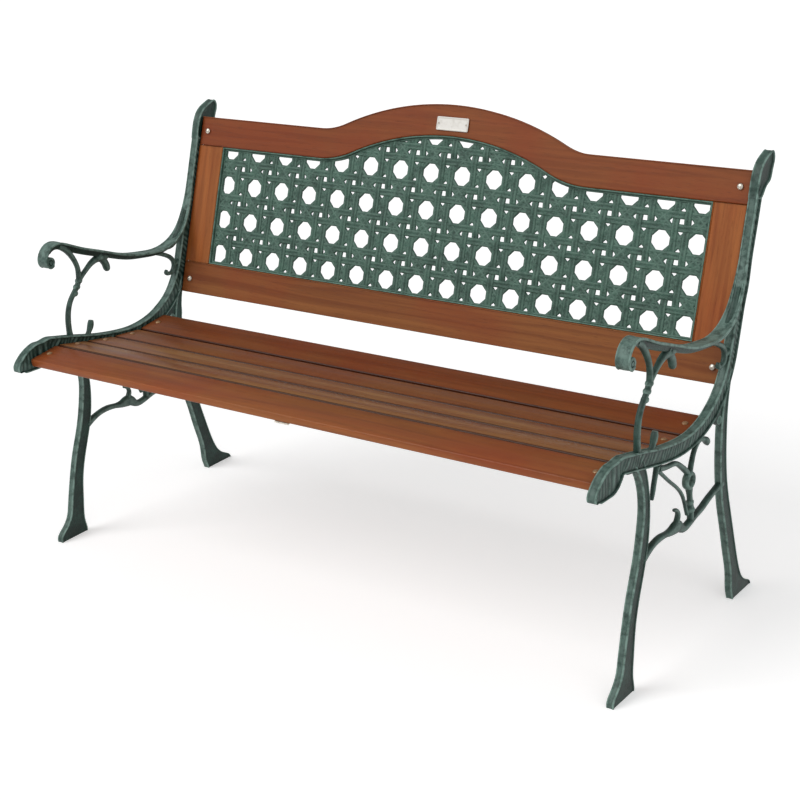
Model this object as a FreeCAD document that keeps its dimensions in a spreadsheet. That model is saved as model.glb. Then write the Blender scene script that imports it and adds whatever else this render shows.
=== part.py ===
import FreeCAD, Part
import math
import os

from FreeCAD import Placement, Rotation, Vector

# Garden bench: two cast end frames carry five seat slats and a wooden back frame with a cast
# cane-weave panel. Millimetres. X runs along the bench, -Y is the front, Z is up. The origin is on the
# ground, midway between the two end frames and midway between the front and rear soles.
#
# Outlines of the castings are lists of stations (y, z, width) on the middle line of each limb. Their y is
# for a seat SEAT_DEPTH_DRAWN deep and their z for a seat crest SEAT_HEIGHT_DRAWN high; at() carries them
# to the sizes in the sheet. Widths are never stretched.

SEAT_DEPTH_DRAWN = 366.0
SEAT_HEIGHT_DRAWN = 402.0

SIZES = (
    ("frame_spacing", 1235.0, "between the middle planes of the end frames"),
    ("seat_depth", 366.0, "front edge of front slat to rear edge of rear slat"),
    ("seat_height", 402.0, "ground to the crest of the seat"),
    ("recline", 18.3, "degrees of the back from upright"),
    ("end_clearance", 1.0, "between wood ends and the end frames"),
    ("slat_thickness", 15.0, "seat slat"),
    ("slat_gap", 6.0, "between the top edges of two slats"),
    ("slat_clearance", 1.0, "least gap between the lower edges of two slats"),
    ("slat_rounding", 3.0, "radius on the long edges of a slat"),
    ("back_thickness", 16.0, "rails and stiles of the back"),
    ("top_rail_width", 58.0, "top rail"),
    ("bottom_rail_width", 64.0, "bottom rail"),
    ("opening_width", 1090.0, "opening for the panel"),
    ("opening_rise", 239.0, "opening for the panel, at its sides"),
    ("back_drop", 4.0, "opening's lower edge below the back's reference point"),
    ("arch_span", 600.0, "width of the arch"),
    ("arch_rise", 66.0, "height of the arch"),
    ("arch_radius", 520.0, "crown of the arch, at the opening"),
    ("rabbet_width", 12.5, "rabbet behind the opening"),
    ("rabbet_depth", 5.0, "rabbet behind the opening"),
    ("panel_clearance", 0.5, "panel to wood, all round"),
    ("panel_rim", 4.0, "raised rim of the panel, seen in the opening"),
    ("rim_setback", 1.0, "rim behind the wood's front face"),
    ("web_setback", 5.0, "cane weave behind the wood's front face"),
    ("web_thickness", 7.0, "cane weave"),
    ("weave_pitch", 70.0, "from one octagon to the next"),
    ("weave_start", 24.0, "lower edge of the opening to the first row of octagons"),
    ("octagon_size", 36.0, "octagon, across flats"),
    ("weave_hole", 10.0, "small square hole between four octagons"),
    ("rail_thickness", 16.0, "seat rail of an end frame, along X"),
    ("rail_height", 28.0, "seat rail of an end frame"),
    ("post_thickness", 17.0, "back post, along X"),
    ("post_depth", 20.0, "back post, front to back"),
    ("post_proud", 7.0, "post in front of the back's front face"),
    ("nose_thickness", 18.0, "front nose of the seat rail, along X"),
    ("leg_thickness", 14.0, "legs, along X"),
    ("leg_waist", 20.0, "leg at its narrowest"),
    ("leg_shin", 28.0, "leg at mid height"),
    ("foot_length", 72.0, "sole of a foot"),
    ("armrest_width", 28.0, "armrest, along X"),
    ("armrest_plate", 5.0, "armrest ribbon"),
    ("armrest_web", 9.0, "stiffener under the armrest ribbon"),
    ("web_overlap", 0.5, "stiffener into the ribbon"),
    ("scroll_roll", 21.0, "roll inside the scroll at the front of the armrest"),
    ("ornament_thickness", 11.0, "scroll-work, along X"),
    ("ornament_width", 11.0, "scroll-work limbs"),
    ("knob_thickness", 13.0, "round knobs of the scroll-work, along X"),
    ("ring_diameter", 32.0, "ring on the baluster"),
    ("ring_hole", 17.0, "ring on the baluster"),
    ("eye_boss", 19.0, "boss in the gusset"),
    ("eye_hole", 9.5, "hole in that boss"),
    ("gusset_thickness", 8.0, "plate where seat rail, post and rear leg meet"),
    ("lug_reach", 42.0, "seat and back lugs, from the middle plane inwards"),
    ("lug_thickness", 5.0, "seat and back lugs"),
    ("lug_length", 40.0, "seat lugs, front to back; the back lugs are half as long"),
    ("seat_lug_root", 3.0, "root of a seat lug, below the seat's top face"),
    ("back_lug_root", 2.0, "root of a back lug, in front of the back's front face"),
    ("bolt_diameter", 6.0, "all bolts"),
    ("bolt_clearance", 0.6, "bolt holes, on diameter"),
    ("bolt_head", 11.0, "dome head"),
    ("bolt_head_height", 2.9, "dome head"),
    ("bolt_spare", 3.0, "bolt beyond its nut"),
    ("thread_clearance", 0.2, "nut on bolt, on diameter"),
    ("washer_diameter", 14.0, "washer"),
    ("washer_thickness", 1.6, "washer"),
    ("nut_flats", 10.0, "nut across flats"),
    ("nut_height", 5.0, "nut"),
    ("seat_bolt_inset", 26.5, "seat bolts, from the middle plane inwards"),
    ("back_bolt_inset", 28.0, "back bolts, from the middle plane inwards"),
    ("bottom_bolt_drop", 36.0, "bottom rail's bolts, below its upper edge"),
    ("screw_diameter", 3.5, "wood screws"),
    ("screw_bite", 8.0, "wood screw in the wood"),
    ("screw_head", 7.0, "pan head"),
    ("screw_head_height", 2.0, "pan head"),
    ("dowel_diameter", 8.0, "dowels between stiles and rails"),
    ("dowel_length", 38.0, "dowels"),
    ("dowel_clearance", 0.2, "dowel holes, on diameter"),
    ("dowel_relief", 1.0, "dowel holes, beyond the dowel's end"),
    ("dowel_spread", 28.0, "between the two dowels of a joint"),
    ("plate_width", 70.0, "name plate"),
    ("plate_height", 25.0, "name plate"),
    ("plate_thickness", 1.2, "name plate"),
    ("plate_shift", 4.0, "name plate, off the middle"),
    ("plate_drop", 7.0, "name plate, below the middle of the top rail"),
    ("plate_corner", 2.5, "name plate, corner radius"),
    ("pin_spread", 61.0, "between the plate's two pins"),
    ("pin_diameter", 1.6, "pin"),
    ("pin_length", 9.0, "pin"),
    ("pin_head", 3.6, "pin head"),
    ("strap_width", 30.0, "strap under the seat"),
    ("strap_thickness", 3.0, "strap under the seat"),
)

# Top face of the seat at the joints between slats, rear to front.
SEAT_LINE = ((88.0, 378.0), (14.0, 368.0), (-60.0, 374.5), (-134.0, 387.5), (-208.0, 402.0), (-278.0, 393.5))
BACK_POINT = (167.8, 476.8)
# Panel screws, as shares of the opening's rise up each stile and of its half width along each rail.
STILE_SHARES = (0.2, 0.8)
BOTTOM_SHARES = (0.25, 0.8)
TOP_SHARE = 0.8
# Cosine above which an edge counts as running along an axis, and the least volume that a pocket takes away.
ALIGNED = 0.99
LEAST_CUT = 1.0


os.makedirs("parts", exist_ok=True)
doc = FreeCAD.newDocument("garden_bench")
sheet = doc.addObject("Spreadsheet::Sheet", "sizes")
for row, (alias, number, meaning) in enumerate(SIZES, start=1):
    sheet.set(f"A{row}", alias)
    sheet.set(f"B{row}", str(number))
    sheet.set(f"C{row}", meaning)
    sheet.setAlias(f"B{row}", alias)
doc.recompute()

nodes = []


def size(alias):
    """A size from the sheet, in millimetres or degrees."""
    return float(sheet.get(alias))


# ---- places that several pieces share ------------------------------------------------------------

wood_half = size("frame_spacing") / 2 - size("nose_thickness") / 2 - size("end_clearance")
opening_half = size("opening_width") / 2
opening_low = -size("back_drop")
opening_side_top = opening_low + size("opening_rise")
recline = math.radians(size("recline"))


def at(y, z):
    """A drawn point of the end frame, carried to this bench's seat depth and height."""
    y_here = y * size("seat_depth") / SEAT_DEPTH_DRAWN
    if z < SEAT_HEIGHT_DRAWN:
        return (y_here, z * size("seat_height") / SEAT_HEIGHT_DRAWN)
    return (y_here, z + size("seat_height") - SEAT_HEIGHT_DRAWN)


def stations(drawn):
    """Stations (y, z, width) of a limb, carried to this bench."""
    return [(*at(y, z), width) for y, z, width in drawn]


back_y, back_z = at(*BACK_POINT)


def on_back(rise, out=0.0):
    """The (y, z) of a point `rise` up the back's front face and `out` in front of it."""
    y = back_y + rise * math.sin(recline) - out * math.cos(recline)
    z = back_z + rise * math.cos(recline) + out * math.sin(recline)
    return (y, z)


# Local frame of the back: X along the bench, Y up the slope, Z out of the front face.
back_place = Placement(Vector(0, back_y, back_z), Rotation(Vector(1, 0, 0), 90 - size("recline")))


class Slat:
    """One seat slat between two joints of the seat line: its width, its place and the way it faces."""

    def __init__(self, index):
        points = [at(*point) for point in SEAT_LINE]
        rear, front = points[index], points[index + 1]
        chord = math.dist(rear, front)
        self.angle = math.atan2(rear[1] - front[1], rear[0] - front[0])
        along = (math.cos(self.angle), math.sin(self.angle))
        rear_trim = self.trim(points, index)
        front_trim = self.trim(points, index + 1)
        self.width = chord - rear_trim - front_trim
        middle = front_trim + self.width / 2
        self.centre = (front[0] + along[0] * middle, front[1] + along[1] * middle)
        self.place = Placement(Vector(0, *self.centre), Rotation(Vector(1, 0, 0), math.degrees(self.angle)))

    @staticmethod
    def trim(points, joint):
        """Half of the gap at a joint, opened where the seat is crowned so that lower edges stay clear."""
        half_gap = size("slat_gap") / 2
        if joint in (0, len(points) - 1):
            return 0.0
        (y0, z0), (y1, z1), (y2, z2) = points[joint - 1:joint + 2]
        crown = math.atan2(z1 - z2, y1 - y2) - math.atan2(z0 - z1, y0 - y1)
        clear = size("slat_clearance") / 2 + size("slat_thickness") * math.tan(crown / 2)
        return max(half_gap, clear)

    def point(self, along, below):
        """The (y, z) of a point in the slat's cross-section."""
        cosine, sine = math.cos(self.angle), math.sin(self.angle)
        y = self.centre[0] + along * cosine + below * sine
        z = self.centre[1] + along * sine - below * cosine
        return (y, z)


slats = [Slat(index) for index in range(len(SEAT_LINE) - 1)]


# ---- ways of making a piece ----------------------------------------------------------------------

def new_body(label):
    """An empty body that becomes the node `label`."""
    body = doc.addObject("PartDesign::Body", label)
    body.Label = label
    nodes.append(body)
    return body


def new_sketch(body, role, edges, lift=None):
    """A sketch of the given edges on one of the body's own planes, moved off it by an expression `lift`."""
    sketch = body.newObject("Sketcher::SketchObject", "Outline")
    plane = next(item for item in body.Origin.OriginFeatures if item.Role == role)
    sketch.AttachmentSupport = [(plane, "")]
    sketch.MapMode = "FlatFace"
    if lift:
        sketch.setExpression("AttachmentOffset.Base.z", lift)
    sketch.addGeometry(edges, False)
    return sketch


def pad(body, sketch, length, both_ways=False, reverse=False):
    """A pad whose length is bound to the sheet."""
    feature = body.newObject("PartDesign::Pad", "Pad")
    feature.Profile = sketch
    feature.SideType = "Symmetric" if both_ways else "One side"
    feature.Reversed = reverse
    feature.setExpression("Length", length)
    return feature


def pocket(body, sketch, depth, reverse=False):
    """A pocket whose depth is bound to the sheet; it must take material away."""
    doc.recompute()
    before = body.Shape.Volume
    feature = body.newObject("PartDesign::Pocket", "Pocket")
    feature.Profile = sketch
    feature.Reversed = reverse
    feature.setExpression("Length", depth)
    doc.recompute()
    if body.Shape.Volume > before - LEAST_CUT:
        raise ValueError(f"a pocket in {body.Label} cuts nothing")
    return feature


def polygon(points):
    """Closed outline of straight edges."""
    corners = [Vector(x, y, 0) for x, y in points]
    return [Part.LineSegment(a, b) for a, b in zip(corners, corners[1:] + corners[:1])]


def rectangle(x0, y0, x1, y1):
    """Closed rectangle."""
    return polygon(((x0, y0), (x1, y0), (x1, y1), (x0, y1)))


def circle(x, y, diameter):
    """A circle in the sketch plane."""
    return Part.Circle(Vector(x, y, 0), Vector(0, 0, 1), diameter / 2)


def smooth(points, closed=False):
    """A smooth curve through points."""
    curve = Part.BSplineCurve()
    curve.interpolate([Vector(x, y, 0) for x, y in points], closed)
    return curve


def strip(line, level=False):
    """Outline of a limb: its middle line moved half a width to each side, square to it or level."""
    left, right = [], []
    for index, (y, z, width) in enumerate(line):
        y0, z0, _ = line[max(index - 1, 0)]
        y1, z1, _ = line[min(index + 1, len(line) - 1)]
        run = math.hypot(y1 - y0, z1 - z0)
        ny, nz = (1.0, 0.0) if level else ((z1 - z0) / run, (y0 - y1) / run)
        left.append((y - ny * width / 2, z - nz * width / 2))
        right.append((y + ny * width / 2, z + nz * width / 2))
    pairs = ((left[0], right[0]), (left[-1], right[-1]))
    ends = [Part.LineSegment(Vector(*a, 0), Vector(*b, 0)) for a, b in pairs]
    return [smooth(left), smooth(right), *ends]


def slab(body, outline, thickness):
    """A smooth closed outline, padded to both sides of the middle plane."""
    pad(body, new_sketch(body, "YZ_Plane", [smooth(outline, closed=True)]), thickness, both_ways=True)


def limb(body, line, thickness, level=False):
    """One limb of a casting: a strip, padded to both sides of the middle plane."""
    pad(body, new_sketch(body, "YZ_Plane", strip(line, level)), thickness, both_ways=True)


def boss(body, y, z, diameter, thickness):
    """A round boss across the middle plane."""
    pad(body, new_sketch(body, "YZ_Plane", [circle(y, z, diameter)]), thickness, both_ways=True)


def group(label, shapes):
    """A node of several like pieces, each a solid of its own."""
    feature = doc.addObject("Part::Feature", label)
    feature.Label = label
    feature.Shape = Part.makeCompound(shapes)
    feature.Placement = Placement()
    nodes.append(feature)
    return feature


def placed(solid, *places):
    """A copy of a solid, carried through the placements from last to first."""
    total = Placement()
    for place in places:
        total = total.multiply(place)
    return solid.transformed(total.toMatrix(), True)


def shift(x, y, z):
    """A plain move."""
    return Placement(Vector(x, y, z), Rotation())


# ---- end frames ----------------------------------------------------------------------------------

waist = size("leg_waist")
shin = size("leg_shin")
foot = size("foot_length")
rail = size("rail_height")
post = size("post_depth")
twig = size("ornament_width")

FRONT_LEG = (
    (-168, 392, rail), (-146.5, 343, waist), (-141.5, 305, waist), (-145, 268, (waist + shin) / 2),
    (-156.5, 220, shin), (-177.5, 165, shin), (-192.5, 115, shin), (-202, 65, shin * 1.2),
    (-208, 38, foot * 0.58), (-219, 15, foot * 0.92), (-220, 0, foot),
)
REAR_LEG = (
    (158, 440, waist * 0.4), (146.5, 408, waist * 0.65), (138, 377, waist * 0.9), (134.5, 345, waist),
    (133.5, 292, waist + 2), (137.5, 242, (waist + shin) / 2), (151, 182, shin), (159, 155, shin),
    (175, 98, shin * 1.08), (189.5, 50, shin * 1.25), (199, 25, foot * 0.72), (214, 9, foot * 0.98),
    (218, 0, foot * 1.05),
)
SEAT_RAIL = (
    (-228, 405, rail * 0.9), (-198, 399.5, rail), (-148, 388, rail), (-98, 375.5, rail), (-48, 366.5, rail),
    (2, 363, rail * 0.95), (32, 365.5, rail * 0.93), (62, 372, rail * 0.93), (93, 385, rail * 0.95),
    (121.5, 404.5, rail * 0.95), (142.7, 429.6, rail * 0.95), (158.8, 457.5, rail * 0.95),
    (169.2, 485.6, rail * 0.95), (179.1, 515.4, rail * 0.95), (191.5, 550.4, rail * 0.95),
)
# The nose of the seat rail, from the rail's end round the tip and back, about the crest of the rail.
NOSE_POINT = (-238, 401.9)
NOSE = (
    (22, 17), (0, 18), (-30, 12), (-53, -3), (-66.5, -24), (-61, -33), (-40, -35), (-12, -36),
    (-2, -29), (8, -19), (22, -9), (30, 4),
)
# The post above that, as (rise up the back, share of its depth).
POST_RISES = ((104, 1.2), (140, 1.0), (200, 1.0), (240, 1.0), (262, 1.0))
# The finial on the post, as (rise up the back, out of its front face).
FINIAL = (
    (246, 8), (276, 9), (304, 2), (316, -8), (325, -19), (331.5, -32), (324, -39.5), (300, -39.5), (281, -36),
    (271, -25), (250, -13),
)
GUSSET = (
    (93, 378), (103, 352), (124, 341), (144, 345), (149, 380), (154, 410), (166, 446), (142, 428),
    (112, 398),
)
EYE = (118, 362)
ARMREST = (
    (-140, 583), (-100, 566), (-43, 545), (10, 526), (58, 517), (97, 513), (137, 520), (168, 540), (188, 568),
    (204, 600),
)
# The ribbon's middle line in the scroll, and the middle of the roll that it wraps.
SCROLL = (
    (-191.5, 555.5), (-199.5, 552.3), (-206.3, 556.8), (-209, 566), (-204.8, 578.6), (-194.8, 588.8),
    (-178, 593.5), (-158.8, 589),
)
SCROLL_POINT = (-199, 562)
# The stiffener's first stations; like ARMREST, they are the ribbon's top above the stiffener.
ARM_WEB_START = ((-176, 594), (-158.8, 591.5))
# The boss that fills the bend of the ribbon above its roll, as (y, z, diameter).
SCROLL_BOSS = (-190, 578, 23)
ARM_SUPPORT = (
    (-162, 400, twig * 1.15), (-164, 430, twig), (-160, 455, twig), (-150, 475, twig), (-133, 492, twig),
    (-124, 512, twig), (-124, 530, twig), (-130, 548, twig), (-140, 564, twig), (-152, 577, twig),
    (-164, 584, twig),
)
ARM_TWIG = (
    (-124, 506, twig), (-112, 511, twig * 0.8), (-94, 522, twig * 0.8), (-74, 527, twig * 0.7),
    (-50, 516, twig * 0.7),
)
ARM_CURL = ((-140, 384, twig), (-124, 389, twig * 0.8), (-112, 401, twig * 0.8), (-105, 413, twig * 0.7))
POST_CURL = (
    (88, 508, twig * 0.7), (118, 495, twig * 0.8), (136, 483, twig * 0.8), (143, 468, twig * 0.8),
    (134, 455, twig * 0.7), (116, 457, twig * 0.6),
)
POST_STUB = ((136, 468, twig * 0.8), (168, 470, twig * 0.9))
STRETCHER = (
    (-148, 214, twig * 1.2), (-113, 227, twig), (-83, 229, twig), (-43, 221, twig), (-10, 212, twig * 1.1),
    (10, 213, twig * 1.1), (37, 219, twig), (57, 222, twig), (85, 230, twig), (138, 238, twig * 1.2),
)
BALUSTER = ((22, 212, twig), (22, 242, twig * 1.15), (18, 262, twig * 0.85), (15, 282, twig))
LEFT_BRANCH = (
    (10, 302, twig * 0.7), (-7, 320, twig * 0.8), (-32, 338, twig * 0.8), (-62, 344, twig * 0.8),
    (-94, 352, twig),
)
RIGHT_BRANCH = ((19, 302, twig * 0.7), (28, 333, twig * 0.8), (48, 348, twig * 0.8), (78, 337, twig * 0.7))
THIN_BAR = ((-100, 352, 7), (-52, 311, 6.5), (-22, 285, 6.5), (-2, 262, 6.5), (14, 238, 7))
TAIL = ((-98, 356, twig * 0.8), (-108, 332, twig * 0.7), (-113, 307, twig * 0.6))
BUD = ((-30, 222, twig), (-24, 243, twig * 0.8), (-42, 258, twig * 0.6))
# Round knobs, as (y, z, diameter): three beads on the arm support, then ends and knots of other limbs.
KNOBS = (
    (-124.5, 505, 15.5), (-131.7, 494.5, 15), (-138.7, 483.5, 15), (-50, 512, 17), (-105, 414, 14),
    (117, 458, 12), (78, 337, 12), (-30, 228, 24), (22, 236, 17), (20, 250, 15),
)
RING_POINT = (15, 291)


def scroll_line():
    """Middle line of the armrest ribbon: the scroll at the front, then the long curve to the post."""
    plate = size("armrest_plate")
    line = [(*at(y, z), plate) for y, z in SCROLL]
    for y, z in ARMREST:
        here_y, here_z = at(y, z)
        line.append((here_y, here_z - plate / 2, plate))
    return line


def finish_frame_top(body):
    """The back post above the seat bend, and its finial."""
    middle = size("post_proud") - post / 2
    line = stations(SEAT_RAIL[-2:])
    line += [(*on_back(rise, middle), post * wider) for rise, wider in POST_RISES]
    limb(body, line, "sizes.post_thickness")
    outline = [on_back(rise, out) for rise, out in FINIAL]
    slab(body, outline, "sizes.post_thickness")


def add_lug(body, shelf, root):
    """A lug that reaches inwards from the casting, and its root inside the casting."""
    pad(body, new_sketch(body, "YZ_Plane", polygon(root)), "sizes.post_thickness / 2")
    pad(body, new_sketch(body, "YZ_Plane", polygon(shelf)), "sizes.lug_reach")


def drill(body, place, depth):
    """A bolt hole along the local Z of a placement, both ways from it."""
    hole = body.newObject("PartDesign::SubtractiveCylinder", "BoltHole")
    hole.setExpression("Radius", "(sizes.bolt_diameter + sizes.bolt_clearance) / 2")
    hole.Height = depth
    hole.Placement = place.multiply(shift(0, 0, -depth / 2))
    return hole


def add_seat_lugs(body):
    """A drilled lug under each seat slat."""
    half = size("lug_length") / 2
    start = size("seat_lug_root")
    top = size("slat_thickness")
    low = top + size("lug_thickness")
    depth = 4 * size("lug_thickness")
    for slat in slats:
        root = [slat.point(*c) for c in ((-half, start), (half, start), (half, low), (-half, low))]
        shelf = [slat.point(*c) for c in ((-half, top), (half, top), (half, low), (-half, low))]
        add_lug(body, shelf, root)
        drill(body, slat.place.multiply(shift(size("seat_bolt_inset"), 0, -top)), depth)


def add_back_lugs(body):
    """A drilled lug behind each rail of the back."""
    half = size("lug_length") / 4
    start = size("back_lug_root")
    rear = -size("back_thickness")
    far = rear - size("lug_thickness")
    depth = 4 * size("lug_thickness")
    for rise in back_bolt_rises:
        low, high = rise - half, rise + half
        root = [on_back(*c) for c in ((low, start), (high, start), (high, far), (low, far))]
        shelf = [on_back(*c) for c in ((low, rear), (high, rear), (high, far), (low, far))]
        add_lug(body, shelf, root)
        place = back_place.multiply(shift(size("back_bolt_inset"), rise, rear))
        drill(body, place, depth)


def end_frame(label):
    """The left end frame, drawn about its own middle plane, with its lugs reaching towards +X."""
    body = new_body(label)
    limb(body, stations(SEAT_RAIL), "sizes.rail_thickness")
    finish_frame_top(body)
    add_seat_lugs(body)
    add_back_lugs(body)
    nose_y, nose_z = at(*NOSE_POINT)
    nose = [(nose_y + y, nose_z + z) for y, z in NOSE]
    slab(body, nose, "sizes.nose_thickness")
    slab(body, [at(y, z) for y, z in GUSSET], "sizes.gusset_thickness")
    limb(body, stations(FRONT_LEG), "sizes.leg_thickness", level=True)
    limb(body, stations(REAR_LEG), "sizes.leg_thickness", level=True)
    limb(body, scroll_line(), "sizes.armrest_width")
    boss(body, *at(*SCROLL_POINT), size("scroll_roll"), "sizes.armrest_width")
    boss_y, boss_z, boss_diameter = SCROLL_BOSS
    boss(body, *at(boss_y, boss_z), boss_diameter, "sizes.ornament_thickness")
    below = size("armrest_plate") + size("armrest_web") / 2 - size("web_overlap")
    web = [(*at(y, z - below), size("armrest_web")) for y, z in (*ARM_WEB_START, *ARMREST)]
    limb(body, web, "sizes.ornament_thickness")
    for drawn in (ARM_SUPPORT, ARM_TWIG, ARM_CURL, POST_CURL, POST_STUB, STRETCHER, BALUSTER):
        limb(body, stations(drawn), "sizes.ornament_thickness")
    boss(body, *at(*RING_POINT), size("ring_diameter"), "sizes.knob_thickness")
    for drawn in (LEFT_BRANCH, RIGHT_BRANCH, THIN_BAR, TAIL, BUD):
        limb(body, stations(drawn), "sizes.ornament_thickness")
    for y, z, diameter in KNOBS:
        boss(body, *at(y, z), diameter, "sizes.knob_thickness")
    boss(body, *at(*EYE), size("eye_boss"), "sizes.knob_thickness")
    holes = [circle(*at(*RING_POINT), size("ring_hole")), circle(*at(*EYE), size("eye_hole"))]
    through = pocket(body, new_sketch(body, "YZ_Plane", holes), "sizes.armrest_width")
    through.SideType = "Symmetric"
    body.setExpression("Placement.Base.x", "-sizes.frame_spacing / 2")
    return body


back_bolt_rises = (opening_low - size("bottom_bolt_drop"), opening_side_top + size("top_rail_width") / 2)
left_frame = end_frame("left_end_frame")
right_frame = doc.addObject("Part::Mirroring", "right_end_frame")
right_frame.Label = "right_end_frame"
right_frame.Source = left_frame
right_frame.Normal = Vector(1, 0, 0)
nodes.append(right_frame)


# ---- seat ----------------------------------------------------------------------------------------

bolt_hole = size("bolt_diameter") + size("bolt_clearance")


def seat_slat(label, slat):
    """A slat with rounded long edges and a bolt hole near each end."""
    body = new_body(label)
    section = rectangle(-slat.width / 2, -size("slat_thickness"), slat.width / 2, 0)
    length = pad(body, new_sketch(body, "YZ_Plane", section),
                 "sizes.frame_spacing - sizes.nose_thickness - 2 * sizes.end_clearance", both_ways=True)
    doc.recompute()
    along = [f"Edge{number}" for number, edge in enumerate(length.Shape.Edges, start=1)
             if abs(edge.tangentAt(edge.FirstParameter).x) > ALIGNED
             and edge.CenterOfMass.z > -size("slat_thickness") / 2]
    fillet = body.newObject("PartDesign::Fillet", "Rounding")
    fillet.Base = (length, along)
    fillet.setExpression("Radius", "sizes.slat_rounding")
    bolt_x = size("frame_spacing") / 2 - size("seat_bolt_inset")
    holes = [circle(x, 0, bolt_hole) for x in (-bolt_x, bolt_x)]
    pocket(body, new_sketch(body, "XY_Plane", holes), "sizes.slat_thickness")
    body.Placement = slat.place


for number, slat in enumerate(reversed(slats), start=1):
    seat_slat(f"seat_slat_{number}", slat)

strap_top = [slat.point(end * slat.width / 2, size("slat_thickness")) for slat in slats for end in (1, -1)]
strap_low = [slat.point(end * slat.width / 2, size("slat_thickness") + size("strap_thickness"))
             for slat in slats for end in (1, -1)]
seat_strap = new_body("seat_strap")
pad(seat_strap, new_sketch(seat_strap, "YZ_Plane", polygon(strap_top + strap_low[::-1])), "sizes.strap_width",
    both_ways=True)


# ---- back ----------------------------------------------------------------------------------------

def arch(offset, half_length):
    """Upper edge of the opening moved outwards by offset: level, hollow curve, crown, hollow curve, level."""
    crown = size("arch_radius") + offset
    span = size("arch_span") / 2
    rise = size("arch_rise")
    hollow = (span ** 2 + rise ** 2) / (2 * rise) - size("arch_radius") - offset
    crown_z = opening_side_top + rise - size("arch_radius")
    hollow_z = opening_side_top + offset + hollow
    lean = math.atan2(span, hollow_z - crown_z)
    edges = []
    for mirror in (-1, 1):
        start = Vector(mirror * half_length, opening_side_top + offset, 0)
        level = Vector(mirror * span, opening_side_top + offset, 0)
        half_x = span - hollow * math.sin(lean / 2)
        half = Vector(mirror * half_x, hollow_z - hollow * math.cos(lean / 2), 0)
        turn = Vector(mirror * crown * math.sin(lean), crown_z + crown * math.cos(lean), 0)
        edges += [Part.LineSegment(start, level), Part.Arc(level, half, turn)]
    edges.append(Part.Arc(Vector(-turn.x, turn.y, 0), Vector(0, crown_z + crown, 0), turn))
    return edges


def opening(offset):
    """Closed outline of the panel's opening, moved outwards by offset."""
    half = opening_half + offset
    low = opening_low - offset
    high = opening_side_top + offset
    corners = [Vector(*c, 0) for c in ((-half, high), (-half, low), (half, low), (half, high))]
    return arch(offset, half) + [Part.LineSegment(a, b) for a, b in zip(corners, corners[1:])]


def back_member(label, edges):
    """A rail or stile of the back: its outline, padded backwards, with the rabbet for the panel cut in it."""
    body = new_body(label)
    pad(body, new_sketch(body, "XY_Plane", edges), "sizes.back_thickness", reverse=True)
    rabbet = new_sketch(body, "XY_Plane", opening(size("rabbet_width")), lift="-sizes.back_thickness")
    pocket(body, rabbet, "sizes.rabbet_depth", reverse=True)
    body.Placement = back_place
    return body


def bolt_pocket(body, rise):
    """The two bolt holes of a rail."""
    x = size("frame_spacing") / 2 - size("back_bolt_inset")
    pocket(body, new_sketch(body, "XY_Plane", [circle(-x, rise, bolt_hole), circle(x, rise, bolt_hole)]),
           "sizes.back_thickness")


def dowel_holes(body, places, depth):
    """Dowel holes along the slope, `depth` to each side of the joints at the given places."""
    for x, rise in places:
        hole = body.newObject("PartDesign::SubtractiveCylinder", "DowelHole")
        hole.setExpression("Radius", "(sizes.dowel_diameter + sizes.dowel_clearance) / 2")
        hole.Height = 2 * depth
        base = Vector(x, rise - depth, -size("back_thickness") / 2)
        hole.Placement = Placement(base, Rotation(Vector(1, 0, 0), -90))


stile_middle = (opening_half + wood_half) / 2
dowel_xs = [side * stile_middle + step * size("dowel_spread") / 2 for side in (-1, 1) for step in (-1, 1)]
dowel_reach = size("dowel_length") / 2 + size("dowel_relief")
joints = (opening_low, opening_side_top)

top_edge = arch(size("top_rail_width"), wood_half)
top_low = opening_side_top
top_high = opening_side_top + size("top_rail_width")
ends = [Part.LineSegment(Vector(x, top_low, 0), Vector(x, top_high, 0)) for x in (-wood_half, wood_half)]
top_rail = back_member("back_top_rail", arch(0, wood_half) + top_edge + ends)
bolt_pocket(top_rail, back_bolt_rises[1])
dowel_holes(top_rail, [(x, opening_side_top) for x in dowel_xs], dowel_reach)

bottom_low = opening_low - size("bottom_rail_width")
bottom_rail = back_member("back_bottom_rail", rectangle(-wood_half, bottom_low, wood_half, opening_low))
bolt_pocket(bottom_rail, back_bolt_rises[0])
dowel_holes(bottom_rail, [(x, opening_low) for x in dowel_xs], dowel_reach)

for label, side in (("back_left_stile", -1), ("back_right_stile", 1)):
    x0, x1 = sorted((side * opening_half, side * wood_half))
    stile = back_member(label, rectangle(x0, opening_low, x1, opening_side_top))
    dowel_holes(stile, [(x, rise) for x in dowel_xs if x * side > 0 for rise in joints], dowel_reach)


def octagon(x, y, flats):
    """Regular octagon, by its size across flats."""
    radius = flats / 2 / math.cos(math.pi / 8)
    angles = [math.pi / 8 + turn * math.pi / 4 for turn in range(8)]
    return polygon([(x + radius * math.cos(a), y + radius * math.sin(a)) for a in angles])


def weave_holes():
    """Octagons in rows and columns, with a square hole between each four of them."""
    pitch = size("weave_pitch")
    small = size("weave_hole") / 2
    columns = int(opening_half / pitch) + 1
    rows = int((size("opening_rise") + size("arch_rise")) / pitch) + 2
    first = opening_low + size("weave_start")
    edges = []
    for column in range(-columns, columns + 1):
        for row in range(-1, rows):
            x, y = pitch * (column + 0.5), first + pitch * row
            edges += octagon(x, y, size("octagon_size"))
            x, y = x - pitch / 2, y + pitch / 2
            edges += rectangle(x - small, y - small, x + small, y + small)
    return edges


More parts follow.
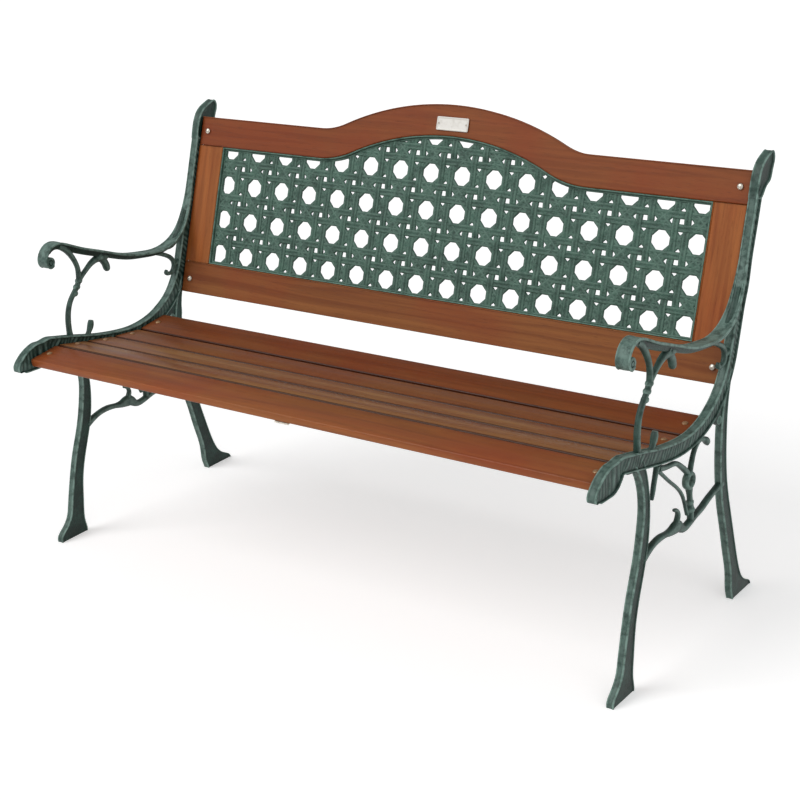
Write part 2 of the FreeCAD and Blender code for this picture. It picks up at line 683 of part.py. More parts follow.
panel = new_body("lattice_panel")
fit = -size("panel_clearance")
rim_inner = fit - size("panel_rim")
flange_outer = size("rabbet_width") - size("panel_clearance")
web = new_sketch(panel, "XY_Plane", opening(fit), lift="-sizes.web_setback")
pad(panel, web, "sizes.web_thickness", reverse=True)
weave = new_sketch(panel, "XY_Plane", weave_holes(), lift="-sizes.web_setback")
pocket(panel, weave, "sizes.web_thickness")
rim = new_sketch(panel, "XY_Plane", opening(fit) + opening(rim_inner), lift="-sizes.rim_setback")
pad(panel, rim, "sizes.back_thickness - sizes.rim_setback", reverse=True)
flange = new_sketch(panel, "XY_Plane", opening(flange_outer) + opening(rim_inner),
                    lift="-sizes.back_thickness")
pad(panel, flange, "sizes.rabbet_depth")
panel.Placement = back_place

# Screws through the panel's flange, from behind: along the rails and up the stiles.
screw_line = opening_half + (flange_outer + size("screw_diameter") / 2) / 2
rail_offset = screw_line - opening_half
screw_places = []
for side in (-1, 1):
    for share in STILE_SHARES:
        screw_places.append((side * screw_line, opening_low + size("opening_rise") * share))
    for share in BOTTOM_SHARES:
        screw_places.append((side * opening_half * share, opening_low - rail_offset))
    screw_places.append((side * opening_half * TOP_SHARE, opening_side_top + rail_offset))
screw_places.append((0, opening_side_top + size("arch_rise") + rail_offset))

plate_rise = opening_side_top + size("arch_rise") + size("top_rail_width") / 2 - size("plate_drop")
plate = new_body("name_plate")
plate_x = size("plate_width") / 2
plate_y = size("plate_height") / 2
block = pad(plate, new_sketch(plate, "XY_Plane", rectangle(-plate_x, -plate_y, plate_x, plate_y)),
            "sizes.plate_thickness")
doc.recompute()
corners = [f"Edge{number}" for number, edge in enumerate(block.Shape.Edges, start=1)
           if abs(edge.tangentAt(edge.FirstParameter).z) > ALIGNED]
rounding = plate.newObject("PartDesign::Fillet", "Corners")
rounding.Base = (block, corners)
rounding.setExpression("Radius", "sizes.plate_corner")
pin_xs = (-size("pin_spread") / 2, size("pin_spread") / 2)
pocket(plate, new_sketch(plate, "XY_Plane", [circle(x, 0, size("pin_diameter")) for x in pin_xs]),
       "sizes.plate_thickness", reverse=True)
plate_place = back_place.multiply(shift(size("plate_shift"), plate_rise, 0))
plate.Placement = plate_place


# ---- fasteners -----------------------------------------------------------------------------------

def domed(head, height, shank, length):
    """A domed head on a plain shank: the head stands on Z = 0 and the shank runs down from it."""
    radius = (head * head / 4 + height * height) / (2 * height)
    ball = Part.makeSphere(radius, Vector(0, 0, height - radius))
    cap = ball.common(Part.makeCylinder(head, height + 1, Vector(0, 0, 0)))
    return cap.fuse(Part.makeCylinder(shank / 2, length, Vector(0, 0, -length))).removeSplitter()


def ring(outer, inner, height):
    """A washer standing on Z = 0."""
    return Part.makeCylinder(outer / 2, height).cut(Part.makeCylinder(inner / 2, height))


def hexagon_nut():
    """A nut standing on Z = 0."""
    corner = size("nut_flats") / 2 / math.cos(math.pi / 6)
    angles = [turn * math.pi / 3 for turn in range(7)]
    points = [Vector(corner * math.cos(angle), corner * math.sin(angle), 0) for angle in angles]
    block = Part.Face(Part.makePolygon(points)).extrude(Vector(0, 0, size("nut_height")))
    bore = (size("bolt_diameter") + size("thread_clearance")) / 2
    return block.cut(Part.makeCylinder(bore, size("nut_height")))


def fastened(prefix, places, grip):
    """Bolts at the placements, with a washer and a nut each beyond a grip of wood and lug."""
    stack = grip + size("washer_thickness") + size("nut_height") + size("bolt_spare")
    bolt = domed(size("bolt_head"), size("bolt_head_height"), size("bolt_diameter"), stack)
    washer = ring(size("washer_diameter"), bolt_hole, size("washer_thickness"))
    washer_place = shift(0, 0, -grip - size("washer_thickness"))
    nut_place = washer_place.multiply(shift(0, 0, -size("nut_height")))
    group(f"{prefix}_bolts", [placed(bolt, place) for place in places])
    group(f"{prefix}_washers", [placed(washer, place, washer_place) for place in places])
    group(f"{prefix}_nuts", [placed(hexagon_nut(), place, nut_place) for place in places])


seat_x = size("frame_spacing") / 2 - size("seat_bolt_inset")
seat_places = [slat.place.multiply(shift(side * seat_x, 0, 0)) for slat in slats for side in (-1, 1)]
fastened("seat", seat_places, size("slat_thickness") + size("lug_thickness"))

back_x = size("frame_spacing") / 2 - size("back_bolt_inset")
back_bolt_points = [(side * back_x, rise) for rise in back_bolt_rises for side in (-1, 1)]
back_places = [back_place.multiply(shift(x, rise, 0)) for x, rise in back_bolt_points]
fastened("back", back_places, size("back_thickness") + size("lug_thickness"))


def screws(label, places, grip):
    """Pan-head wood screws at the placements, heads outwards along the local Z."""
    length = grip + size("screw_bite")
    screw = domed(size("screw_head"), size("screw_head_height"), size("screw_diameter"), length)
    group(label, [placed(screw, place) for place in places])


def screw_hole(body, places, depth):
    """The holes that wood screws fill, along the local Z of each placement."""
    for place in places:
        hole = body.newObject("PartDesign::SubtractiveCylinder", "ScrewHole")
        hole.setExpression("Radius", "sizes.screw_diameter / 2")
        hole.Height = depth
        hole.Placement = place.multiply(shift(0, 0, -depth))


over = Placement(Vector(0, 0, 0), Rotation(Vector(1, 0, 0), 180))
behind = [shift(x, rise, -size("back_thickness")).multiply(over) for x, rise in screw_places]
panel_grip = size("rabbet_depth")
screws("panel_screws", [back_place.multiply(place) for place in behind], panel_grip)
screw_hole(panel, behind, panel_grip)
member_sides = {"back_top_rail": 0, "back_bottom_rail": 0, "back_left_stile": -1, "back_right_stile": 1}
for label, side in member_sides.items():
    member = doc.getObject(label)
    inside = [place for place in behind if member.Shape.BoundBox.isInside(back_place.multVec(place.Base))]
    own = [place for place in inside if (place.Base.x * side > opening_half) or (side == 0)]
    own = [place for place in own if side or abs(place.Base.x) < opening_half]
    screw_hole(member, own, panel_grip + size("screw_bite"))

strap_depth = size("slat_thickness") + size("strap_thickness")
under = shift(0, 0, -strap_depth).multiply(over)
screws("strap_screws", [slat.place.multiply(under) for slat in slats], size("strap_thickness"))
for number, slat in enumerate(reversed(slats), start=1):
    screw_hole(seat_strap, [slat.place.multiply(under)], size("strap_thickness"))
    screw_hole(doc.getObject(f"seat_slat_{number}"), [under], size("strap_thickness") + size("screw_bite"))

dowel_foot = Vector(0, -size("dowel_length") / 2, 0)
dowel = Part.makeCylinder(size("dowel_diameter") / 2, size("dowel_length"), dowel_foot, Vector(0, 1, 0))
dowel_depth = -size("back_thickness") / 2
dowel_places = [shift(x, rise, dowel_depth) for x in dowel_xs for rise in joints]
group("stile_dowels", [placed(dowel, back_place, place) for place in dowel_places])

pin = domed(size("pin_head"), size("pin_head") / 4, size("pin_diameter"), size("pin_length"))
pin_lift = size("plate_thickness")
group("name_plate_pins", [placed(pin, plate_place, shift(x, 0, pin_lift)) for x in pin_xs])
pin_holes = [circle(size("plate_shift") + x, plate_rise, size("pin_diameter")) for x in pin_xs]
pocket(top_rail, new_sketch(top_rail, "XY_Plane", pin_holes), "sizes.pin_length - sizes.plate_thickness")


# ---- checks and files ----------------------------------------------------------------------------

doc.recompute()
for item in doc.Objects:
    if {"Invalid", "Error"} & set(item.State):
        raise ValueError(f"{item.Name} failed: {item.State}")
for node in nodes:
    if node.Shape.isNull() or not node.Shape.isValid():
        raise ValueError(f"{node.Label} has no valid shape")
    node.Shape.exportStep(f"parts/{node.Label}.step")
    print(node.Label, len(node.Shape.Solids), "solids", round(node.Shape.Volume / 1000.0, 1), "cm3")
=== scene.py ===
import logging
import math
from dataclasses import dataclass, field
from enum import Enum
from typing import Union

import bpy
import numpy as np
from mathutils import Matrix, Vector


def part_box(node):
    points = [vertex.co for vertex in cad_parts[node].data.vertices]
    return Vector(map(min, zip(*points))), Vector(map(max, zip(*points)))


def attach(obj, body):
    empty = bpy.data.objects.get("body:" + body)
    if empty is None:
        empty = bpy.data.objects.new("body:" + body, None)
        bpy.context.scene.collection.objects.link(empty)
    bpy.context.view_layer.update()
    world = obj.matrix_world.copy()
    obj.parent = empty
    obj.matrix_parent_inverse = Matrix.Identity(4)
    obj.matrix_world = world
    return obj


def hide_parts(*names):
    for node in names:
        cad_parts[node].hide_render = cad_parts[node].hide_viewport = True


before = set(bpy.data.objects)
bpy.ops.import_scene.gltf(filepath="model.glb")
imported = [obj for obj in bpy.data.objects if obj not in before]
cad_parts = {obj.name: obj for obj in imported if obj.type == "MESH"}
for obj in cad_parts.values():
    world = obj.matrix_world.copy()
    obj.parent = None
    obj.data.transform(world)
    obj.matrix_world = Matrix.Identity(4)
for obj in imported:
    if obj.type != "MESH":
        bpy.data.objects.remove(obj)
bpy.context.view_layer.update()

log = logging.getLogger("garden_bench")
Points = np.ndarray
Feed = Union[bpy.types.NodeSocket, float, tuple]
MM = 0.001


# ---- curves and surfaces -------------------------------------------------------------------------

def spline(knots: Points, count: int) -> Points:
    """Natural cubic spline through knots, read at even steps of chord length.

    The second derivatives solve one tridiagonal system; each span is then the usual cubic in its two ends'
    values and second derivatives.

    Args:
        knots: Rows of any number of columns, in order along the curve.
        count: How many points to return.

    Returns:
        An array of count rows, the first and last being the end knots.
    """
    steps = np.linalg.norm(np.diff(knots[:, :2], axis=0), axis=1)
    at = np.concatenate(([0.0], np.cumsum(steps)))
    size = len(knots)
    matrix = np.eye(size)
    right = np.zeros_like(knots)
    inner = np.arange(1, size - 1)
    matrix[inner, inner - 1] = steps[:-1]
    matrix[inner, inner] = 2 * (steps[:-1] + steps[1:])
    matrix[inner, inner + 1] = steps[1:]
    slopes = np.diff(knots, axis=0) / steps[:, None]
    right[1:-1] = 6 * np.diff(slopes, axis=0)
    bend = np.linalg.solve(matrix, right)
    read = np.linspace(0, at[-1], count)
    span = np.clip(np.searchsorted(at, read, side="right") - 1, 0, size - 2)
    width = steps[span][:, None]
    a = (at[span + 1] - read)[:, None] / width
    b = 1 - a
    cubic = ((a ** 3 - a) * bend[span] + (b ** 3 - b) * bend[span + 1]) * width ** 2 / 6
    return a * knots[span] + b * knots[span + 1] + cubic


def grid_quads(rows: int, columns: int, closed: bool = False, start: int = 0) -> Points:
    """Quads of a grid whose columns wrap round; rows wrap too when closed.

    Args:
        rows: Rings along the surface.
        columns: Points round each ring.
        closed: Whether the last ring joins the first.
        start: Index of the grid's first point.

    Returns:
        An array of four indices a quad.
    """
    last = rows if closed else rows - 1
    i, j = np.meshgrid(np.arange(last), np.arange(columns), indexing="ij")
    here = i * columns
    beyond = ((i + 1) % rows) * columns
    turn = (j + 1) % columns
    return np.stack([here + j, here + turn, beyond + turn, beyond + j], axis=-1).reshape(-1, 4) + start


@dataclass
class Surface:
    """Closed shells gathered into one mesh, with a ridge mask for each point."""

    name: str
    points: list[Points] = field(default_factory=list)
    ridges: list[Points] = field(default_factory=list)
    grains: list[Points] = field(default_factory=list)
    faces: list[Points] = field(default_factory=list)
    caps: list[list[int]] = field(default_factory=list)
    total: int = 0

    def add_tube(self, rings: Points, ridge: Points | float = 0.0, closed: bool = False,
                 grain: Points | None = None) -> None:
        """Add a tube of rings; its two ends are closed flat unless it closes on itself.

        Args:
            rings: Array of rings by points by three, in millimetres.
            ridge: Mask for each point, or one value.
            closed: Whether the last ring joins the first.
            grain: Texture coordinates for each point, or None to leave them at the points' own places.
        """
        count, around = rings.shape[:2]
        flat = rings.reshape(-1, 3)
        quads = grid_quads(count, around, closed, self.total)
        flip = self.signed_volume(flat, quads - self.total) < 0
        if flip:
            quads = quads[:, ::-1]
        self.faces.append(quads)
        if not closed:
            first = list(range(self.total, self.total + around))
            final = list(range(self.total + (count - 1) * around, self.total + count * around))
            self.caps += [first if flip else first[::-1], final[::-1] if flip else final]
        self.points.append(flat)
        self.grains.append(flat if grain is None else grain.reshape(-1, 3))
        self.ridges.append(np.broadcast_to(ridge, rings.shape[:2]).reshape(-1).astype(float))
        self.total += len(flat)

    @staticmethod
    def signed_volume(points: Points, quads: Points) -> float:
        """Volume under the side wall about its middle; negative when its faces point inwards."""
        corners = points[quads] - points.mean(axis=0)
        normal = np.cross(corners[:, 2] - corners[:, 0], corners[:, 3] - corners[:, 1])
        return float((normal * corners.mean(axis=1)).sum())

    def to_object(self, material: bpy.types.Material, crease: float = 38.0) -> bpy.types.Object:
        """Put the shells into a mesh object with one material.

        Args:
            material: The finish of the whole piece.
            crease: Edges that turn by more than this many degrees stay sharp.

        Returns:
            The new object, at the origin, in metres.
        """
        points = np.concatenate(self.points) * MM
        quads = np.concatenate(self.faces)
        sizes = [4] * len(quads) + [len(cap) for cap in self.caps]
        corners = np.concatenate([quads.reshape(-1), *[np.array(cap) for cap in self.caps]]).astype(np.int32)
        starts = np.concatenate(([0], np.cumsum(sizes)[:-1])).astype(np.int32)
        mesh = bpy.data.meshes.new(self.name)
        mesh.vertices.add(len(points))
        mesh.vertices.foreach_set("co", points.reshape(-1).astype(np.float32))
        mesh.loops.add(len(corners))
        mesh.loops.foreach_set("vertex_index", corners)
        mesh.polygons.add(len(sizes))
        mesh.polygons.foreach_set("loop_start", starts)
        mesh.polygons.foreach_set("use_smooth", np.ones(len(sizes), dtype=bool))
        mesh.update(calc_edges=True)
        mesh.validate()
        mesh.set_sharp_from_angle(angle=math.radians(crease))
        ridge = mesh.attributes.new("ridge", "FLOAT", "POINT")
        ridge.data.foreach_set("value", np.concatenate(self.ridges).astype(np.float32))
        grain = mesh.attributes.new("grain", "FLOAT_VECTOR", "POINT")
        grain.data.foreach_set("vector", (np.concatenate(self.grains) * MM).reshape(-1).astype(np.float32))
        mesh.materials.append(material)
        piece = bpy.data.objects.new(self.name, mesh)
        bpy.context.collection.objects.link(piece)
        return piece


def lathe(profile: Points, around: int) -> Points:
    """Rings of a turned shape: each profile point (radius, height) goes once round the Z axis.

    Args:
        profile: Rows of radius and height, along the shape.
        around: Points in each ring.

    Returns:
        An array of rings by points by three.
    """
    turn = np.linspace(0, 2 * math.pi, around, endpoint=False)
    radius, height = profile[:, 0][:, None], profile[:, 1][:, None]
    return np.stack([radius * np.cos(turn), radius * np.sin(turn), height + 0 * turn], axis=-1)


def rounded_box_ring(half_width: float, low: float, high: float, radius: float, steps: int = 3) -> Points:
    """Outline of a rectangle with round corners.

    Args:
        half_width: Half of its width.
        low: Its lower edge.
        high: Its upper edge.
        radius: Radius of the corners.
        steps: Steps in each corner's quarter circle.

    Returns:
        Rows of (across, up), going round once.
    """
    angle = np.linspace(0, math.pi / 2, steps + 1)
    arc = np.stack([np.cos(angle), np.sin(angle)], axis=-1) * radius
    corners = []
    for quarter, (x, y) in enumerate(((1, 1), (-1, 1), (-1, -1), (1, -1))):
        turn = quarter * math.pi / 2
        rotate = np.array([[math.cos(turn), math.sin(turn)], [-math.sin(turn), math.cos(turn)]])
        middle = np.array([x * (half_width - radius), high - radius if y > 0 else low + radius])
        corners.append(arc @ rotate + middle)
    return np.concatenate(corners)


# ---- sizes shared by the pieces ------------------------------------------------------------------

@dataclass(frozen=True)
class Bench:
    """Driving sizes of the bench in millimetres; the width comes from the frame."""

    recline: float = 18.3
    back_point: tuple[float, float] = (167.8, 476.8)
    wood_clearance: float = 10.0
    slat_thickness: float = 15.0
    back_thickness: float = 16.0
    armrest_width: float = 28.0
    opening_half: float = 545.0
    opening_low: float = -4.0
    opening_top: float = 235.0
    arch_half: float = 300.0
    arch_rise: float = 66.0
    arch_radius: float = 520.0
    top_rail: float = 58.0
    bottom_rail: float = 64.0
    bottom_bolt_drop: float = 36.0
    rabbet_width: float = 12.5
    rabbet_depth: float = 5.0

    @property
    def frame_x(self) -> float:
        """Middle plane of the right end frame, half an armrest in from the bench's end."""
        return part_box("right_end_frame")[1][0] / MM - self.armrest_width / 2

    @property
    def wood_half(self) -> float:
        """Half the length of the boards."""
        return self.frame_x - self.wood_clearance

    @property
    def up(self) -> Points:
        """Direction up the slope of the back."""
        lean = math.radians(self.recline)
        return np.array([0.0, math.sin(lean), math.cos(lean)])

    @property
    def out(self) -> Points:
        """Direction out of the back's front face."""
        lean = math.radians(self.recline)
        return np.array([0.0, -math.cos(lean), math.sin(lean)])

    def on_back(self, x: Points, rise: Points, out: Points) -> Points:
        """Places on or near the back.

        Args:
            x: Places along the bench.
            rise: Places up the slope of the back.
            out: Distances out of the back's front face.

        Returns:
            An array of the arguments' shape by three.
        """
        x, rise, out = np.broadcast_arrays(x, rise, out)
        start = np.array([0.0, *self.back_point])
        along = x[..., None] * np.array([1.0, 0, 0])
        return start + along + rise[..., None] * self.up + out[..., None] * self.out

    def arch(self, x: Points, offset: float = 0.0) -> Points:
        """Rise of the opening's top edge.

        Level outside the arch, then a hollow arc tangent to it, then the crown's arc, tangent to the hollow
        one.

        Args:
            x: Places along the bench.
            offset: How far the edge is moved outwards.

        Returns:
            The rise up the slope at each place.
        """
        both = (self.arch_half ** 2 + self.arch_rise ** 2) / (2 * self.arch_rise)
        crown = self.arch_radius + offset
        hollow = both - crown
        crown_rise = self.opening_top + self.arch_rise - self.arch_radius
        hollow_rise = self.opening_top + offset + hollow
        turn_x = self.arch_half * crown / (crown + hollow)
        far = np.abs(x)
        over = crown_rise + np.sqrt(np.maximum(crown ** 2 - far ** 2, 0))
        under = hollow_rise - np.sqrt(np.maximum(hollow ** 2 - (self.arch_half - far) ** 2, 0))
        level = self.opening_top + offset
        return np.where(far >= self.arch_half, level, np.where(far > turn_x, under, over))


BENCH = Bench()


# ---- finishes ------------------------------------------------------------------------------------

class Socket(Enum):
    """Kinds of socket on a node group."""

    VALUE = "NodeSocketFloat"
    COLOUR = "NodeSocketColor"
    VECTOR = "NodeSocketVector"


class Graph:
    """A node tree and the steps that it is built in."""

    def __init__(self, tree: bpy.types.NodeTree) -> None:
        """Keep the tree that the nodes go into."""
        self.tree = tree

    def node(self, kind: str, inputs: dict | None = None, **settings: object) -> bpy.types.Node:
        """Add a node.

        Args:
            kind: The node's type.
            inputs: A plain value, or a socket to link from, for each named input.
            settings: Properties of the node itself.

        Returns:
            The new node.
        """
        made = self.tree.nodes.new(kind)
        for name, value in settings.items():
            setattr(made, name, value)
        for name, value in (inputs or {}).items():
            if isinstance(value, bpy.types.NodeSocket):
                self.tree.links.new(value, made.inputs[name])
            else:
                made.inputs[name].default_value = value
        return made

    def noise(self, vector: bpy.types.NodeSocket, scale: float, detail: float = 3.0, rough: float = 0.55,
              distortion: float = 0.0) -> bpy.types.NodeSocket:
        """Plain noise in three dimensions.

        Args:
            vector: Where the noise is read.
            scale: Its fineness.
            detail: How many finer layers it has.
            rough: How strong the finer layers are.
            distortion: How much it is warped.

        Returns:
            The noise, about 0 to 1.
        """
        made = self.node("ShaderNodeTexNoise", {"Vector": vector, "Scale": scale, "Detail": detail,
                                                "Roughness": rough, "Distortion": distortion})
        return made.outputs["Fac"]

    def ranged(self, value: bpy.types.NodeSocket, low: float, high: float, to_low: float = 0.0,
               to_high: float = 1.0) -> bpy.types.NodeSocket:
        """Value carried from one range to another, smoothly and clamped.

        Args:
            value: What is carried.
            low: Where the first range starts.
            high: Where it ends.
            to_low: Where the second range starts.
            to_high: Where it ends.

        Returns:
            The carried value.
        """
        made = self.node("ShaderNodeMapRange", {"Value": value, "From Min": low, "From Max": high,
                                                "To Min": to_low, "To Max": to_high},
                         interpolation_type="SMOOTHSTEP")
        return made.outputs["Result"]

    def maths(self, kind: str, first: Feed, second: Feed = 0.0) -> bpy.types.NodeSocket:
        """One arithmetic step."""
        made = self.node("ShaderNodeMath", {0: first, 1: second}, operation=kind)
        return made.outputs[0]

    def mix(self, factor: Feed, first: Feed, second: Feed) -> bpy.types.NodeSocket:
        """Mix of two colours.

        Args:
            factor: 0 for the first colour, 1 for the second.
            first: The first colour.
            second: The second colour.

        Returns:
            The mixed colour.
        """
        made = self.node("ShaderNodeMix", data_type="RGBA", blend_type="MIX")
        for index, value in ((0, factor), (6, first), (7, second)):
            if isinstance(value, bpy.types.NodeSocket):
                self.tree.links.new(value, made.inputs[index])
            else:
                made.inputs[index].default_value = value
        return made.outputs[2]

    def stretched(self, vector: bpy.types.NodeSocket, scale: tuple[float, float, float],
                  location: tuple[float, float, float] = (0.0, 0.0, 0.0)) -> bpy.types.NodeSocket:
        """Coordinates moved and scaled along each axis."""
        made = self.node("ShaderNodeMapping", {"Vector": vector, "Scale": scale, "Location": location})
        return made.outputs["Vector"]


def new_group(name: str, inputs: dict[str, Socket], outputs: dict[str, Socket]) -> tuple[Graph, dict, dict]:
    """An empty node group with named sockets.

    Args:
        name: The group's name.
        inputs: Kind of each input socket.
        outputs: Kind of each output socket.

    Returns:
        The graph to build in, the inputs' sockets inside it and the output node's inputs.
    """
    tree = bpy.data.node_groups.new(name, "ShaderNodeTree")
    for label, kind in inputs.items():
        tree.interface.new_socket(name=label, in_out="INPUT", socket_type=kind.value)
    for label, kind in outputs.items():
        tree.interface.new_socket(name=label, in_out="OUTPUT", socket_type=kind.value)
    graph = Graph(tree)
    entry = tree.nodes.new("NodeGroupInput")
    leave = tree.nodes.new("NodeGroupOutput")
    given = {label: entry.outputs[label] for label in inputs}
    put = {label: leave.inputs[label] for label in outputs}
    return graph, given, put


def board_grain_group() -> bpy.types.NodeTree:
    """Grain of a flat-sawn board: the board's length is X of the vector.

    Growth rings are noise stretched far along the board and folded into bands, streaks are longer and softer,
    and pores are short fine dashes.
    """
    graph, given, put = new_group("board_grain", {"Vector": Socket.VECTOR},
                                  {"Rings": Socket.VALUE, "Streaks": Socket.VALUE, "Pores": Socket.VALUE})
    bent = graph.node("ShaderNodeVectorMath", operation="ADD")
    sway = graph.node("ShaderNodeTexNoise", {"Vector": graph.stretched(given["Vector"], (1.6, 7.0, 7.0)),
                                             "Scale": 1.0, "Detail": 2.0})
    amount = graph.node("ShaderNodeVectorMath", {0: sway.outputs["Color"], 1: (0.0, 0.03, 0.03)},
                        operation="MULTIPLY")
    graph.tree.links.new(given["Vector"], bent.inputs[0])
    graph.tree.links.new(amount.outputs[0], bent.inputs[1])
    vector = bent.outputs[0]
    broad = graph.noise(graph.stretched(vector, (0.9, 26.0, 26.0)), 1.0, 3.0, 0.5)
    folded = graph.maths("SINE", graph.maths("MULTIPLY", broad, 46.0))
    rings = graph.ranged(folded, -1.0, 1.0)
    streaks = graph.noise(graph.stretched(vector, (0.5, 34.0, 34.0), (3.1, 0.7, 1.9)), 1.0, 4.0, 0.6)
    pores = graph.noise(graph.stretched(vector, (32.0, 900.0, 900.0)), 1.0, 2.0, 0.6)
    for label, socket in (("Rings", rings), ("Streaks", graph.ranged(streaks, 0.3, 0.7)),
                          ("Pores", graph.ranged(pores, 0.56, 0.74))):
        graph.tree.links.new(socket, put[label])
    return graph.tree


def cast_skin_group() -> bpy.types.NodeTree:
    """Skin of painted sand-cast iron: mottling, rubbed raised places with painted highlights, and a fine pitted
    stipple.

    Mottle is broad noise, WearAndHighlight is the ridge mask (paint wear and painted highlight) broken up by
    middling noise, and Pits is a cell pattern with grit on it, for bump.
    """
    graph, given, put = new_group("cast_skin", {"Vector": Socket.VECTOR, "Ridge": Socket.VALUE},
                                  {"Mottle": Socket.VALUE, "WearAndHighlight": Socket.VALUE, "Pits": Socket.VALUE})
    vector = given["Vector"]
    mottle = graph.ranged(graph.noise(vector, 38.0, 5.0, 0.62), 0.36, 0.66)
    patches = graph.ranged(graph.noise(vector, 75.0, 4.0, 0.65), 0.30, 0.60)
    share = graph.maths("ADD", graph.maths("MULTIPLY", patches, 0.75), 0.25)
    wear_and_highlight = graph.maths("MULTIPLY", given["Ridge"], share)
    cells = graph.node("ShaderNodeTexVoronoi", {"Vector": vector, "Scale": 330.0, "Randomness": 1.0})
    grit = graph.noise(vector, 900.0, 2.0, 0.6)
    pits = graph.maths("ADD", graph.maths("MULTIPLY", cells.outputs["Distance"], 0.7),
                       graph.maths("MULTIPLY", grit, 0.45))
    for label, socket in (("Mottle", mottle), ("WearAndHighlight", wear_and_highlight), ("Pits", pits)):
        graph.tree.links.new(socket, put[label])
    return graph.tree


def new_material(name: str) -> tuple[bpy.types.Material, Graph, bpy.types.Node]:
    """A new material, the graph it is built in and its Principled shader."""
    material = bpy.data.materials.new(name)
    material.use_nodes = True
    return material, Graph(material.node_tree), material.node_tree.nodes["Principled BSDF"]


@dataclass(frozen=True)
class Hardwood:
    """Varnished red-brown hardwood; each board has its own tone and place in the log.

    The mesh's ridge attribute is 1 beside the gaps between boards; there the board is darkened as painted shade
    of the gap.
    """

    name: str
    dark: tuple[float, float, float] = (0.120, 0.026, 0.006)
    body: tuple[float, float, float] = (0.270, 0.076, 0.017)
    light: tuple[float, float, float] = (0.42, 0.165, 0.042)
    gold: float = 0.25
    log: float = 0.0
    pore_strength: float = 0.38
    pore_shade: float = 0.4
    gap_shade_strength: float = 0.9
    gap_shade_darkness: float = 0.3

    def material(self, grain: bpy.types.NodeTree) -> bpy.types.Material:
        """Build the board's material.

        Args:
            grain: The shared board_grain group.

        Returns:
            A material whose grain follows the mesh's own grain coordinates.
        """
        made, graph, shader = new_material(self.name)
        place = graph.node("ShaderNodeAttribute", attribute_name="grain", attribute_type="GEOMETRY")
        joint = graph.node("ShaderNodeAttribute", attribute_name="ridge", attribute_type="GEOMETRY")
        vector = graph.stretched(place.outputs["Vector"], (1, 1, 1), (self.log, self.log * 0.7, self.log * 0.3))
        wood = graph.node("ShaderNodeGroup", {}, node_tree=grain)
        graph.tree.links.new(vector, wood.inputs["Vector"])
        rings, streaks, pores = (wood.outputs[label] for label in ("Rings", "Streaks", "Pores"))
        colour = graph.mix(graph.maths("MULTIPLY", rings, 0.42), (*self.body, 1), (*self.dark, 1))
        colour = graph.mix(graph.maths("MULTIPLY", streaks, self.gold + 0.35), colour, (*self.light, 1))
        blush = graph.ranged(graph.noise(vector, 4.5, 3.0), 0.42, 0.66)
        red = (self.body[0] * 1.05, self.body[1] * 0.62, self.body[2] * 0.6, 1)
        colour = graph.mix(graph.maths("MULTIPLY", blush, 0.45), colour, red)
        pored = graph.maths("MULTIPLY", pores, self.pore_strength)
        colour = graph.mix(pored, colour, (*[c * self.pore_shade for c in self.dark], 1))
        # Painted shade: the board darkens beside the gaps between boards, where the gap's shadow falls.
        shaded_gap = graph.maths("MULTIPLY", joint.outputs["Fac"], self.gap_shade_strength)
        colour = graph.mix(shaded_gap, colour, (*[c * self.gap_shade_darkness for c in self.dark], 1))
        graph.tree.links.new(colour, shader.inputs["Base Color"])
        rough = graph.ranged(streaks, 0.0, 1.0, 0.38, 0.5)
        graph.tree.links.new(rough, shader.inputs["Roughness"])
        height = graph.maths("SUBTRACT", graph.maths("MULTIPLY", rings, 0.3), pores)
        bump = graph.node("ShaderNodeBump", {"Height": height, "Strength": 0.22, "Distance": 0.0006})
        graph.tree.links.new(bump.outputs["Normal"], shader.inputs["Normal"])
        shader.inputs["Coat Weight"].default_value = 0.14
        shader.inputs["Coat Roughness"].default_value = 0.2
        shader.inputs["Specular IOR Level"].default_value = 0.2
        return made


@dataclass(frozen=True)
class CastIron:
    """Dark green paint on cast iron, rubbed pale on raised edges; the pale colour is also a painted highlight.
    """

    name: str = "painted_cast_iron"
    deep: tuple[float, float, float] = (0.002, 0.008, 0.006)
    paint: tuple[float, float, float] = (0.005, 0.021, 0.015)
    bloom: tuple[float, float, float] = (0.015, 0.052, 0.038)
    verdigris_and_highlight: tuple[float, float, float] = (0.230, 0.345, 0.300)
    pitting: float = 0.55

    def material(self, skin: bpy.types.NodeTree) -> bpy.types.Material:
        """Build the casting's material.

        Args:
            skin: The shared cast_skin group.

        Returns:
            A material that reads the mesh's ridge mask.
        """
        made, graph, shader = new_material(self.name)
        place = graph.node("ShaderNodeTexCoord")
        edge = graph.node("ShaderNodeAttribute", attribute_name="ridge", attribute_type="GEOMETRY")
        cast = graph.node("ShaderNodeGroup", {}, node_tree=skin)
        graph.tree.links.new(place.outputs["Object"], cast.inputs["Vector"])
        graph.tree.links.new(edge.outputs["Fac"], cast.inputs["Ridge"])
        mottle, wear_and_highlight, pits = (cast.outputs[label] for label in ("Mottle", "WearAndHighlight", "Pits"))
        colour = graph.mix(mottle, (*self.paint, 1), (*self.bloom, 1))
        hollow = graph.ranged(pits, 0.25, 0.62, 0.75, 0.0)
        colour = graph.mix(hollow, colour, (*self.deep, 1))
        # Paint wear on raised edges and painted highlight on lit faces, both in the pale colour.
        colour = graph.mix(wear_and_highlight, colour, (*self.verdigris_and_highlight, 1))
        graph.tree.links.new(colour, shader.inputs["Base Color"])
        graph.tree.links.new(graph.ranged(wear_and_highlight, 0.0, 1.0, 0.42, 0.58), shader.inputs["Roughness"])
        bump = graph.node("ShaderNodeBump", {"Height": pits, "Strength": self.pitting, "Distance": 0.0008})
        graph.tree.links.new(bump.outputs["Normal"], shader.inputs["Normal"])
        shader.inputs["Specular IOR Level"].default_value = 0.3
        return made


